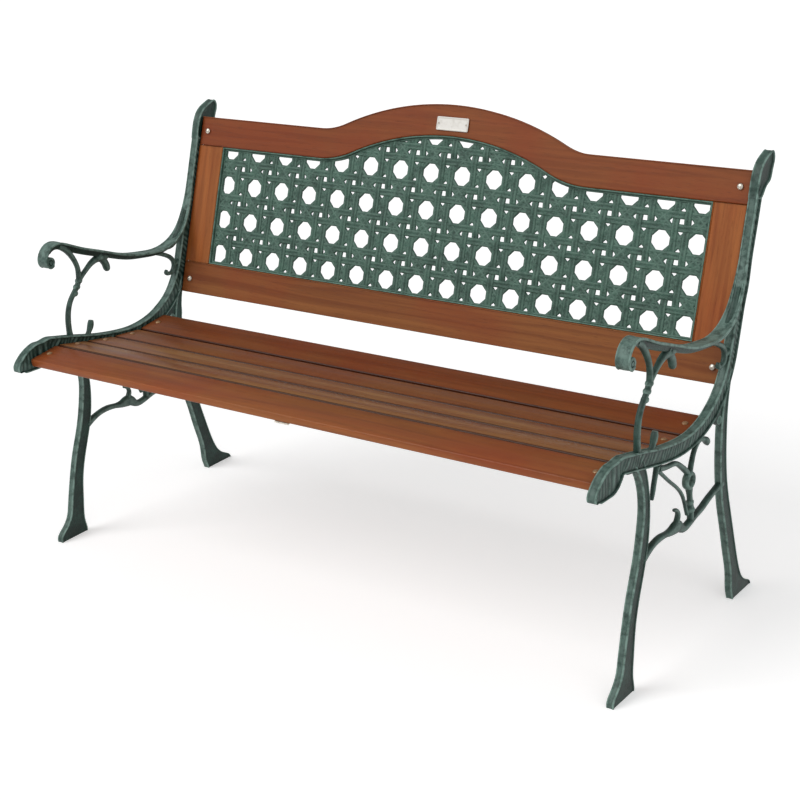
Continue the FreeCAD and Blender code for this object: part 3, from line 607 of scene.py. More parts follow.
@dataclass(frozen=True)
class Plated:
    """Zinc-plated steel, a little dull, with faint turning marks."""

    name: str = "zinc_plated_steel"
    bright: tuple[float, float, float] = (0.80, 0.74, 0.64)
    dull: tuple[float, float, float] = (0.48, 0.44, 0.38)
    metallic: float = 0.75

    def material(self) -> bpy.types.Material:
        """Build the fastener material."""
        made, graph, shader = new_material(self.name)
        place = graph.node("ShaderNodeTexCoord").outputs["Object"]
        spots = graph.ranged(graph.noise(place, 260.0, 4.0, 0.6), 0.35, 0.7)
        graph.tree.links.new(graph.mix(spots, (*self.bright, 1), (*self.dull, 1)), shader.inputs["Base Color"])
        graph.tree.links.new(graph.ranged(spots, 0, 1, 0.26, 0.5), shader.inputs["Roughness"])
        bump = graph.node("ShaderNodeBump", {"Height": graph.noise(place, 1400.0, 2.0), "Strength": 0.1,
                                             "Distance": 0.0002})
        graph.tree.links.new(bump.outputs["Normal"], shader.inputs["Normal"])
        shader.inputs["Metallic"].default_value = self.metallic
        return made


@dataclass(frozen=True)
class Enamel:
    """Off-white enamel of the blank plate."""

    name: str = "plate_enamel"
    white: tuple[float, float, float] = (0.88, 0.86, 0.81)
    stain: tuple[float, float, float] = (0.60, 0.57, 0.50)

    def material(self) -> bpy.types.Material:
        """Build the plate's material."""
        made, graph, shader = new_material(self.name)
        place = graph.node("ShaderNodeTexCoord").outputs["Object"]
        edge = graph.node("ShaderNodeAttribute", attribute_name="ridge", attribute_type="GEOMETRY")
        cloud = graph.ranged(graph.noise(place, 90.0, 4.0), 0.45, 0.8, 0.0, 0.5)
        grime = graph.maths("MAXIMUM", cloud, graph.maths("MULTIPLY", edge.outputs["Fac"], 0.6))
        graph.tree.links.new(graph.mix(grime, (*self.white, 1), (*self.stain, 1)), shader.inputs["Base Color"])
        graph.tree.links.new(graph.ranged(cloud, 0, 0.5, 0.28, 0.5), shader.inputs["Roughness"])
        return made


@dataclass
class Finishes:
    """Every material of the bench, built once."""

    grain: bpy.types.NodeTree = field(default_factory=board_grain_group)
    skin: bpy.types.NodeTree = field(default_factory=cast_skin_group)

    def __post_init__(self) -> None:
        """Build the materials that several pieces share."""
        self.iron = CastIron().material(self.skin)
        self.weave = CastIron("painted_cane_weave", paint=(0.024, 0.062, 0.045), bloom=(0.052, 0.125, 0.090),
                              verdigris_and_highlight=(0.150, 0.255, 0.205), pitting=0.7).material(self.skin)
        self.zinc = Plated().material()
        self.bronze = Plated("tarnished_bronze", (0.40, 0.235, 0.12), (0.26, 0.135, 0.06), 0.35).material()
        self.enamel = Enamel().material()

    def board(self, name: str, log: float, **tone: object) -> bpy.types.Material:
        """Material of one board.

        Args:
            name: The board's name.
            log: Its place in the log, so that no two boards have the same grain.
            tone: Any of the hardwood's colours, and its share of gold.

        Returns:
            The board's own material.
        """
        return Hardwood(f"hardwood_{name}", log=log, **tone).material(self.grain)


def settle(piece: bpy.types.Object, slot: str, *nodes: str) -> bpy.types.Object:
    """Fix a finished piece to the bench and hide the CAD nodes it stands for.

    Args:
        piece: The finished piece.
        slot: Name of the piece's material slot; not used.
        nodes: The CAD nodes that it stands for.

    Returns:
        The same piece.
    """
    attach(piece, "root")
    if nodes:
        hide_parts(*nodes)
    log.info("%s: %d faces, stands for %s", piece.name, len(piece.data.polygons), ", ".join(nodes) or "itself")
    return piece


# ---- end frames ----------------------------------------------------------------------------------

class Relief(Enum):
    """What is cast into the side faces of a limb."""

    PLAIN = "plain"
    LEAVES = "leaves"


@dataclass(frozen=True)
class Section:
    """Cross-section of a cast limb: raised rounded beads on its four corners, sunk faces between them."""

    half_thickness: float
    bead: float = 2.6
    side_sink: float = 2.2
    edge_sink: float = 0.9
    slope: float = 1.0
    columns: int = 7

    def ring(self) -> tuple[Points, Points, Points, Points, Points]:
        """Points round the section.

        Each point lies at a * half_width + b across the limb and at t along X, so that beads keep their size
        where the limb widens. The first quarter goes from the middle of the edge face over the bead to the side
        face, and the others mirror it.

        Returns:
            Arrays a, b, t, the ridge mask, and the place across the side face from -1 to 1 (9 off the face).
        """
        c, thick = self.bead, self.half_thickness
        edge_in, side_in = thick - c - self.slope, c + self.slope
        # Mask: the edge face a painted highlight, the beads paint wear and painted highlight, the sunk side
        # faces none.
        quarter = [
            (1, -self.edge_sink, edge_in * 0.5, 0.42), (1, -self.edge_sink, edge_in, 0.36),
            (1, 0, thick - c, 0.8), (1, -0.12 * c, thick - 0.45 * c, 1.0),
            (1, -0.45 * c, thick - 0.12 * c, 1.0), (1, -c, thick, 0.8),
        ]
        face = [(f, -f * side_in, thick - self.side_sink, 0.0) for f in np.linspace(1, -1, self.columns)]
        rows = quarter + face + [(-a, -b, t, r) for a, b, t, r in quarter[::-1]]
        rows += [(a, b, -t, r) for a, b, t, r in rows[::-1]]
        a, b, t, ridge = np.array(rows).T
        side = np.full(len(rows), 9.0)
        first = len(quarter)
        side[first:first + self.columns] = np.linspace(1, -1, self.columns)
        side[-first - self.columns:-first] = np.linspace(-1, 1, self.columns)
        return a, b, t, ridge, side


@dataclass(frozen=True)
class Limb:
    """One limb of the casting: its middle line as (y, z, width) stations and how it is cast."""

    line: tuple[tuple[float, float, float], ...]
    section: Section | float
    relief: Relief = Relief.PLAIN
    level: bool = False
    step: float = 2.6

    def rings(self) -> tuple[Points, Points]:
        """Carry the section along the middle line.

        The section stands square to the line, or level across it. A plain number as section is the half
        thickness of an oval limb. Leaves are slanting strokes that swell unevenly on the side faces.

        Returns:
            Rings about the casting's middle plane, and the ridge mask of their points.
        """
        knots = np.array(self.line, dtype=float)
        length = np.linalg.norm(np.diff(knots[:, :2], axis=0), axis=1).sum()
        line = spline(knots, max(8, int(length / self.step)))
        along = np.concatenate(([0], np.cumsum(np.linalg.norm(np.diff(line[:, :2], axis=0), axis=1))))
        tangent = np.gradient(line[:, :2], axis=0)
        tangent /= np.linalg.norm(tangent, axis=1)[:, None]
        normal = np.stack([tangent[:, 1], -tangent[:, 0]], axis=1)
        if self.level:
            normal = np.broadcast_to([1.0, 0.0], normal.shape)
        half = line[:, 2:3] / 2
        if isinstance(self.section, Section):
            a, b, t, ridge, side = self.section.ring()
            across = a * half + b
            lift = self.cast_relief(along[:, None], side[None, :])
            thick = t + np.sign(t) * lift
            mask = np.clip(ridge + lift * 0.42, 0, 1)
        else:
            turn = np.linspace(0, 2 * math.pi, 14, endpoint=False)
            power = 0.8
            across = half * np.sign(np.cos(turn)) * np.abs(np.cos(turn)) ** power
            oval = np.sign(np.sin(turn)) * np.abs(np.sin(turn)) ** power
            thick = np.minimum(self.section, half * 1.05) * oval
            # Painted highlight down the middle of the twig's two broad faces.
            mask = 0.12 + 0.5 * np.maximum(0, np.cos(2 * turn + math.pi)) + 0 * half
        places = line[:, None, :2] + across[..., None] * normal[:, None, :]
        rings = np.concatenate([np.broadcast_to(thick, across.shape)[..., None], places], axis=-1)
        return rings, mask

    def cast_relief(self, along: Points, side: Points) -> Points:
        """Height of the relief on the side faces, zero elsewhere.

        Args:
            along: Distance along the limb.
            side: Place across the side face, from -1 to 1, or 9 off the face.

        Returns:
            The height at each point.
        """
        on_face = (np.abs(side) < 1.5) * np.maximum(0, 1 - side ** 2)
        if self.relief is Relief.LEAVES:
            sway = 0.4 * np.sin(along / 21) + 0.2 * np.sin(along / 7.7 + 1.3) + 0.15 * side * np.sin(along / 12)
            stroke = 0.5 + 0.5 * np.cos(2 * math.pi * (along / 10.5 + 0.5 * side + sway))
            patch = 0.5 + 0.5 * np.sin(along / 5.1 + 2.2 * side) * np.cos(along / 17)
            return 1.9 * on_face ** 0.5 * stroke * (0.3 + 0.7 * patch)
        return 0 * along * side


@dataclass
class EndFrame:
    """One cast end: seat rail, post, legs, armrest and the scroll-work between them."""

    side: int
    finishes: Finishes
    twig: float = 11.0
    waist: float = 20.0
    shin: float = 28.0
    foot: float = 72.0
    rail: float = 28.0
    post: float = 20.0
    scroll_centre: tuple[float, float] = (-199.0, 562.0)
    ribbon: float = 5.0
    lug_reach: float = 42.0
    lug_thickness: float = 5.0
    seat_lug_half: float = 20.0
    back_lug_half: float = 10.0
    root_depth: float = 6.5
    ring_of_scrolls: tuple[float, float, float, float, float] = (15.0, 291.0, 33.0, 15.5, 6.4)
    beads: tuple[tuple[float, float, float], ...] = (
        (-124.5, 505.5, 7.9), (-131.7, 494.8, 7.7), (-138.9, 483.5, 7.6), (22.0, 236.0, 8.6),
        (20.0, 250.0, 7.6), (-60.0, 536.0, 9.0))

    @property
    def name(self) -> str:
        """The CAD node that this piece stands for."""
        return "left_end_frame" if self.side < 0 else "right_end_frame"

    def post_station(self, rise: float, out: float, width: float) -> tuple[float, float, float]:
        """A station given up the slope of the back.

        Args:
            rise: Place up the slope.
            out: Distance out of the back's front face.
            width: Width of the limb there.

        Returns:
            The station as (y, z, width).
        """
        _, y, z = BENCH.on_back(np.array(0.0), np.array(rise), np.array(out))
        return (float(y), float(z), width)

    def spine(self) -> Limb:
        """Nose, seat rail, bend and post, in one sweep."""
        rail, post = self.rail, self.post
        nose = ((-304, 374, 7), (-300, 379, 20), (-292, 383, 31), (-280, 387, 40), (-266, 390.5, 47),
                (-252, 393, 50), (-242, 396, 46), (-233, 400, 38), (-223, 403.8, 31), (-210, 402.2, rail + 1))
        seat = ((-186, 396.8, rail + 1), (-148, 387.5, rail + 1), (-98, 375.5, rail), (-48, 366.5, rail),
                (2, 363, rail * 0.95), (32, 365.5, rail * 0.93), (62, 372, rail * 0.93), (93, 385, rail * 0.95),
                (121.5, 404.5, rail * 0.95), (142.7, 429.6, rail * 0.95), (158.8, 457.5, rail * 0.95),
                (169.2, 485.6, rail * 0.95), (179.1, 515.4, rail * 0.95), (191.5, 550.4, rail * 0.95))
        middle = 7.0 - post / 2
        upright = tuple(self.post_station(rise, middle, post * wider)
                        for rise, wider in ((104, 1.2), (140, 1.0), (200, 1.0), (240, 1.0), (252, 1.0)))
        section = Section(half_thickness=8.6, side_sink=3.4, edge_sink=1.2, columns=11)
        return Limb(nose + seat + upright, section, Relief.LEAVES, step=1.6)

    def add_finial(self, surface: Surface) -> None:
        """The leaf-shaped finial: an outline whose sides are sunk inside a raised rounded border.

        The levels are (inwards from the outline, half thickness, ridge); the last rings shrink to the middle.
        """
        drawn = ((246, 8), (276, 9), (304, 2), (316, -8), (325, -19), (331.5, -32), (324, -39.5), (300, -39.5),
                 (281, -36), (271, -25), (250, -13), (246, 8))
        edge = spline(np.array([self.post_station(rise, out, 0)[:2] for rise, out in drawn]), 97)[:-1]
        tangent = np.roll(edge, -1, axis=0) - np.roll(edge, 1, axis=0)
        tangent /= np.linalg.norm(tangent, axis=1)[:, None]
        inward = np.stack([-tangent[:, 1], tangent[:, 0]], axis=1)
        inward *= np.sign(((edge.mean(axis=0) - edge) * inward).sum())
        levels = ((0.9, 2.0, 0.2), (0.9, 5.4, 0.35), (0.0, 6.6, 0.9), (0.4, 8.0, 1.0), (1.6, 8.7, 1.0),
                  (2.8, 8.2, 0.8), (4.0, 6.0, 0.0), (5.5, 5.6, 0.0))
        half = [(edge + inset * inward, x, ridge) for inset, x, ridge in levels]
        last = half[-1][0]
        middle = last.mean(axis=0)
        half += [(middle + (last - middle) * share, 5.6, 0.0) for share in (0.6, 0.15)]
        both = [(place, -x, ridge) for place, x, ridge in half[::-1]] + half
        rings = np.stack([np.concatenate([np.full((len(edge), 1), x), place], axis=1) for place, x, _ in both])
        surface.add_tube(rings, np.array([ridge for _, _, ridge in both])[:, None])

    def legs(self) -> list[Limb]:
        """Front and rear leg, each flaring into its foot."""
        waist, shin, foot = self.waist, self.shin, self.foot
        front = ((-166, 388, shin), (-154, 365, 23), (-146.5, 343, waist), (-141.5, 305, waist),
                 (-145, 268, (waist + shin) / 2), (-156.5, 220, shin - 1), (-177.5, 165, shin),
                 (-192.5, 115, shin), (-202, 65, shin * 1.2), (-208, 38, foot * 0.56), (-214, 24, foot * 0.74),
                 (-219, 13, foot * 0.94), (-220, 5, foot), (-220, 0, foot * 0.98))
        rear = ((158, 440, waist * 0.4), (146.5, 408, waist * 0.65), (138, 377, waist * 0.9),
                (134.5, 345, waist), (133.5, 292, waist + 2), (137.5, 242, (waist + shin) / 2),
                (151, 182, shin), (159, 155, shin), (175, 98, shin * 1.08), (189.5, 50, shin * 1.25),
                (197, 28, foot * 0.66), (206, 16, foot * 0.86), (214.5, 8, foot * 1.02), (218, 0, foot * 1.05))
        section = Section(half_thickness=7.0, side_sink=1.6, edge_sink=1.0, columns=5)
        return [Limb(line, section, level=True, step=3.0) for line in (front, rear)]

    def scroll_work(self) -> list[Limb]:
        """Arm support, curls, stretcher, baluster and its branches, as oval limbs."""
        w = self.twig
        lines = {
            "support": ((-163, 398, w * 1.25), (-164, 412, w), (-164, 432, w * 0.95), (-160, 455, w * 0.9),
                        (-150, 475, w * 0.85), (-133, 493, w * 0.85), (-124.5, 507, w * 0.9),
                        (-123, 518, w * 0.9), (-124, 532, w * 0.85), (-130, 548, w * 0.9), (-140, 564, w),
                        (-152, 577, w * 1.2), (-166, 585, w * 1.1)),
            "arm_twig": ((-126, 503, w * 0.8), (-118, 511, w * 0.85), (-104, 521, w * 0.85), (-88, 531, w),
                         (-72, 536, w * 1.3), (-58, 536, w * 1.5), (-44, 534, w * 0.9)),
            "arm_knob": ((-66, 543, w * 1.5), (-54, 528, w * 1.4), (-49, 519, w * 1.4), (-47, 511, w * 1.3),
                         (-46.5, 505.5, w * 0.7)),
            "arm_curl": ((-140, 384, w), (-124, 389, w * 0.85), (-113, 400, w * 0.85), (-107, 412, w * 1.1),
                         (-105, 420, w * 0.8)),
            "post_curl": ((84, 508, w * 0.7), (104, 501, w * 0.8), (122, 493, w * 0.85), (136, 483, w * 0.85),
                          (142, 469, w * 0.85), (136, 457, w * 0.8), (126, 454, w * 0.7), (117, 458, w * 0.8),
                          (119, 463, w * 0.5)),
            "post_stub": ((139, 470, w * 0.8), (160, 473, w * 1.3)),
            "fillet": ((120, 508, w * 0.6), (140, 512, w * 1.2), (168, 540, w * 0.9), (188, 574, w * 0.8)),
            "stretcher": ((-148, 214, w * 1.3), (-130, 222, w * 1.1), (-113, 227, w), (-83, 229, w),
                          (-62, 226, w), (-48, 225, w * 1.5), (-34, 226, w * 2.1), (-22, 223, w * 1.9),
                          (-10, 214, w * 1.3), (10, 213, w * 1.1), (37, 219, w), (57, 222, w),
                          (85, 230, w), (112, 236, w),
                          (138, 240, w * 1.4)),
            "baluster": ((22, 214, w), (22, 226, w), (21, 243, w), (19, 257, w * 0.85), (17, 270, w * 0.95),
                         (15.5, 279, w * 1.2)),
            "left_branch": ((12, 303, w * 0.8), (2, 313, w * 0.9), (-14, 326, w * 0.85), (-32, 338, w * 0.8),
                            (-62, 344, w * 0.8), (-94, 352, w)),
            "right_branch": ((18, 303, w * 0.8), (24, 320, w * 0.8), (34, 338, w * 0.75), (50, 349, w * 0.75),
                             (68, 345, w * 0.8), (79, 337, w * 1.1), (82, 331, w * 0.6)),
            "thin_bar": ((-100, 354, 7), (-76, 333, 6.2), (-52, 313, 6), (-26, 292, 6), (-6, 268, 6),
                         (2, 250, 6), (10, 232, 7)),
            "tail": ((-98, 358, w * 0.9), (-106, 338, w * 0.75), (-112, 318, w * 0.7), (-115, 306, w * 0.5)),
            "bud": ((-34, 226, w * 0.9), (-27, 236, w * 0.9), (-24, 245, w * 0.8), (-29, 254, w * 0.65),
                    (-38, 258, w * 0.5)),
        }
        return [Limb(line, 6.0, step=2.4) for line in lines.values()]

    def scroll_line(self) -> Points:
        """Middle line of the armrest ribbon: round its roll, over the top, then the long sweep to the post."""
        scroll = np.array(((-191.5, 555.5), (-199.5, 552.3), (-206.3, 556.8), (-209, 566), (-204.8, 578.6),
                           (-194.8, 588.8), (-178, 593.5), (-158.8, 589.0)))
        arm = np.array(((-140, 583), (-100, 566), (-43, 545), (10, 526), (58, 517), (97, 513), (137, 520),
                        (168, 540), (188, 568), (203, 600), (214, 634)), dtype=float)
        arm[:, 1] -= self.ribbon / 2
        return np.concatenate([scroll, arm])

    def add_armrest(self, surface: Surface) -> None:
        """The armrest: a ribbon with rolled edges, the stiffener under it, and the roll in the scroll.

        The ribbon narrows a little towards the scroll and more where it runs up into the post.
        """
        half = BENCH.armrest_width / 2
        line = spline(self.scroll_line(), 240)
        tangent = np.gradient(line, axis=0)
        tangent /= np.linalg.norm(tangent, axis=1)[:, None]
        normal = np.stack([-tangent[:, 1], tangent[:, 0]], axis=1)
        along = np.linspace(0, 1, len(line))[:, None]
        near_post = np.clip((along - 0.70) / 0.30, 0, 1) ** 1.4
        near_scroll = np.clip((0.22 - along) / 0.12, 0, 1)
        narrow = 1 - 0.46 * near_post - 0.10 * near_scroll
        across = np.array((-1, -0.985, -0.93, -0.86, -0.76, -0.4, 0, 0.4, 0.76, 0.86, 0.93, 0.985, 1,
                           0.97, 0.7, 0, -0.7, -0.97))
        above = np.array((0, 1.4, 2.3, 2.4, 1.3, 1.6, 1.8, 1.6, 1.3, 2.4, 2.3, 1.4, 0,
                          -1.9, -2.3, -2.4, -2.3, -1.9))
        # Mask: rolled edges pale with paint wear and painted highlight, top face lighter as painted highlight,
        # underside plain.
        mask = np.array((1, 1, 1, 0.8, 0.5, 0.6, 0.65, 0.6, 0.5, 0.8, 1, 1, 1, 0.4, 0, 0, 0, 0.4))
        x = across * half * narrow
        places = line[:, None, :] + (above + 0 * along)[..., None] * normal[:, None, :]
        surface.add_tube(np.concatenate([x[..., None], places], axis=-1), mask)
        self.add_stiffener(surface)
        radius = 10.6
        end = half * 0.88
        profile = np.array([(0.01, -end), (3.2, -end), (4.0, -end + 1.6), (5.4, -end + 1.6), (6.4, -end + 0.2),
                            (radius - 1.2, -end), (radius, -end + 1.2)])
        profile = np.concatenate([profile, profile[::-1] * np.array([1, -1])])
        shade = np.array((0.4, 0.7, 0.0, 0.0, 0.8, 0.8, 0.5))
        shade = np.concatenate([shade, shade[::-1]])[:, None]
        roll = lathe(profile, 30)
        surface.add_tube(roll[..., [2, 0, 1]] + np.array([0, *self.scroll_centre]), shade)

    def add_stiffener(self, surface: Surface) -> None:
        """The web inside and under the ribbon, thick at the scroll and thin towards the post."""
        top = spline(self.scroll_line()[3:], 150)
        share = np.linspace(0, 1, len(top))
        thinned = 4.0 * np.clip(share / 0.45, 0, 1)
        swollen = 1.5 * np.sin(math.pi * np.clip(share / 0.7, 0, 1)) ** 2
        depth = 13.0 - thinned + swollen
        tangent = np.gradient(top, axis=0)
        tangent /= np.linalg.norm(tangent, axis=1)[:, None]
        normal = np.stack([tangent[:, 1], -tangent[:, 0]], axis=1)
        depth = depth * np.minimum(1, 0.3 + share * 16)
        down = np.array((0.05, 0.75, 0.93, 1.0, 1.0, 0.93, 0.75, 0.05))
        side = np.array((1.0, 0.86, 0.66, 0.3, -0.3, -0.66, -0.86, -1.0)) * 5.6
        places = top[:, None, :] + (down * depth[:, None])[..., None] * normal[:, None, :]
        x = np.broadcast_to(side, places.shape[:2])
        shade = np.array((0, 0, 0.25, 0.1, 0.1, 0.25, 0, 0))
        surface.add_tube(np.concatenate([x[..., None], places], axis=-1), shade)

    @staticmethod
    def add_bead(surface: Surface, y: float, z: float, radius: float) -> None:
        """A round bead: a ball a little flattened along Z and along X.

        Args:
            surface: The casting's surface.
            y: Place of the bead's middle from front to rear.
            z: Height of its middle.
            radius: Its radius.
        """
        turn = np.linspace(-math.pi / 2, math.pi / 2, 13)
        profile = np.stack([np.maximum(0.01, radius * np.cos(turn)), 0.8 * radius * np.sin(turn)], axis=-1)
        ball = lathe(profile, 20)
        ball[..., 0] *= 0.86
        surface.add_tube(ball + np.array([0, y, z]), 0.25 + 0.55 * np.abs(np.cos(turn))[:, None] ** 6)

    @staticmethod
    def add_round(surface: Surface, y: float, z: float, outer: float, inner: float, half: float) -> None:
        """A cast ring across the middle plane: a circle carried round a circle.

        Args:
            surface: The casting's surface.
            y: Place of the ring's middle from front to rear.
            z: Height of its middle.
            outer: Its outer diameter.
            inner: Diameter of its hole.
            half: Half of its thickness.
        """
        turn = np.linspace(0, 2 * math.pi, 18, endpoint=False)
        middle, thick = (outer + inner) / 4, (outer - inner) / 4
        path = np.linspace(0, 2 * math.pi, 36, endpoint=False)[:, None]
        radius = middle + thick * np.cos(turn)
        x = half * np.sin(turn) + 0 * path
        rings = np.stack([x, y + radius * np.cos(path), z + radius * np.sin(path)], axis=-1)
        surface.add_tube(rings, 0.5 + 0.4 * np.abs(np.sin(turn)) + 0 * path, closed=True)

    def add_gusset(self, surface: Surface) -> None:
        """The thin plate where seat rail, post and rear leg meet, pierced by its eye."""
        outline = np.array(((101, 373), (108, 359), (123, 350), (142, 350), (149, 378), (153, 408), (166, 446),
                            (142, 428), (113, 398), (101, 373)), dtype=float)
        edge = spline(outline, 64)[:-1]
        eye = np.array((118.0, 362.0))
        toward = edge - eye
        start = np.arctan2(toward[:, 1], toward[:, 0])
        rim = eye + 5.5 * np.stack([np.cos(start), np.sin(start)], axis=-1)
        order = [(rim, 4.0), (edge, 4.0), (edge, -4.0), (rim, -4.0)]
        walls = [np.concatenate([np.full((len(edge), 1), x), place], axis=-1) for place, x in order]
        surface.add_tube(np.stack(walls, axis=1), 0.0, closed=True)
        self.add_round(surface, *eye, 17.0, 9.5, 5.2)

    def add_lug(self, surface: Surface, corners: Points) -> None:
        """A lug from the middle plane towards +X, rounded off at its end.

        Args:
            surface: The casting's surface.
            corners: The (y, z) pairs of its section.
        """
        reach = np.array((0.0, self.lug_reach - 2, self.lug_reach - 0.6, self.lug_reach))
        shrink = np.array((1.0, 1.0, 0.985, 0.93))[:, None, None]
        middle = corners.mean(axis=0)
        section = middle + (corners - middle) * shrink
        x = np.broadcast_to(reach[:, None, None], (4, len(corners), 1))
        surface.add_tube(np.concatenate([x, section], axis=-1), 0.1)

    def add_root(self, surface: Surface, corners: Points) -> None:
        """The root of a lug, inside the casting.

        Args:
            surface: The casting's surface.
            corners: The (y, z) pairs of its section.
        """
        x = np.array((0.0, self.root_depth))[:, None, None] + 0 * corners[None, :, :1]
        surface.add_tube(np.concatenate([x, np.broadcast_to(corners, (2, 4, 2))], axis=-1), 0.0)

    @staticmethod
    def oblong(middle: float, half: float, near: float, far: float) -> tuple[tuple[float, float], ...]:
        """Corners of an oblong section: middle and half along the board, near and far across it."""
        return ((middle - half, near), (middle + half, near), (middle + half, far), (middle - half, far))

    @staticmethod
    def on_slope(section: tuple[tuple[float, float], ...]) -> Points:
        """The (y, z) of corners given as (rise up the slope, distance out of the back's front face)."""
        return np.array([BENCH.on_back(np.array(0.0), np.array(float(rise)), np.array(float(out)))[1:]
                         for rise, out in section])

    def add_lugs(self, surface: Surface, seat: "Seat") -> None:
        """The lugs that carry the slats and the back's rails, with their roots.

        Args:
            surface: The casting's surface.
            seat: The seat whose slats the lugs carry.
        """
        low, rear = BENCH.slat_thickness, -BENCH.back_thickness
        lug = self.oblong(0.0, self.seat_lug_half, low, low + self.lug_thickness)
        for slat in seat.slats:
            self.add_lug(surface, np.array([slat.point(*corner) for corner in lug]))
        for rise in Back.bolt_rises():
            far = rear - self.lug_thickness
            self.add_lug(surface, self.on_slope(self.oblong(rise, self.back_lug_half, rear, far)))
            self.add_root(surface, self.on_slope(self.oblong(rise, self.back_lug_half, 0.0, far)))
        root = self.oblong(0.0, self.seat_lug_half, 4.0, low + self.lug_thickness)
        for slat in seat.slats:
            self.add_root(surface, np.array([slat.point(*corner) for corner in root]))

    def carried(self, drawn: Surface) -> Surface:
        """The casting, drawn about the middle plane with its lugs towards +X, at its frame's place.

        The right frame is mirrored, which turns its faces inwards, so their corners are taken in reverse.

        Args:
            drawn: The casting about the middle plane.

        Returns:
            The same casting at its place.
        """
        placed = Surface(drawn.name)
        for points, ridges, faces in zip(drawn.points, drawn.ridges, drawn.faces):
            moved = points * np.array([-self.side, 1, 1]) + np.array([self.side * BENCH.frame_x, 0, 0])
            placed.points.append(moved)
            placed.grains.append(moved)
            placed.ridges.append(ridges)
            placed.faces.append(faces[:, ::-self.side])
        placed.caps = [cap[::-self.side] for cap in drawn.caps]
        placed.total = drawn.total
        return placed

    def build(self, seat: "Seat") -> bpy.types.Object:
        """Gather the limbs about the middle plane, then carry them to the frame's place.

        Args:
            seat: The seat whose slats the lugs carry.

        Returns:
            The finished piece.
        """
        drawn = Surface(self.name + "_casting")
        for limb in [self.spine(), *self.legs(), *self.scroll_work()]:
            drawn.add_tube(*limb.rings())
        self.add_finial(drawn)
        self.add_armrest(drawn)
        self.add_gusset(drawn)
        self.add_round(drawn, *self.ring_of_scrolls)
        for bead in self.beads:
            self.add_bead(drawn, *bead)
        self.add_lugs(drawn, seat)
        piece = self.carried(drawn).to_object(self.finishes.iron, crease=50)
        return settle(piece, "cast_iron", self.name)


# ---- seat ----------------------------------------------------------------------------------------

@dataclass(frozen=True)
class Slat:
    """One seat slat: middle of its top face, width and slope."""

    centre: tuple[float, float]
    width: float
    angle: float

    def point(self, along: float, below: float) -> tuple[float, float]:
        """The (y, z) of a point in the slat's cross-section."""
        cosine, sine = math.cos(self.angle), math.sin(self.angle)
        return (self.centre[0] + along * cosine + below * sine, self.centre[1] + along * sine - below * cosine)


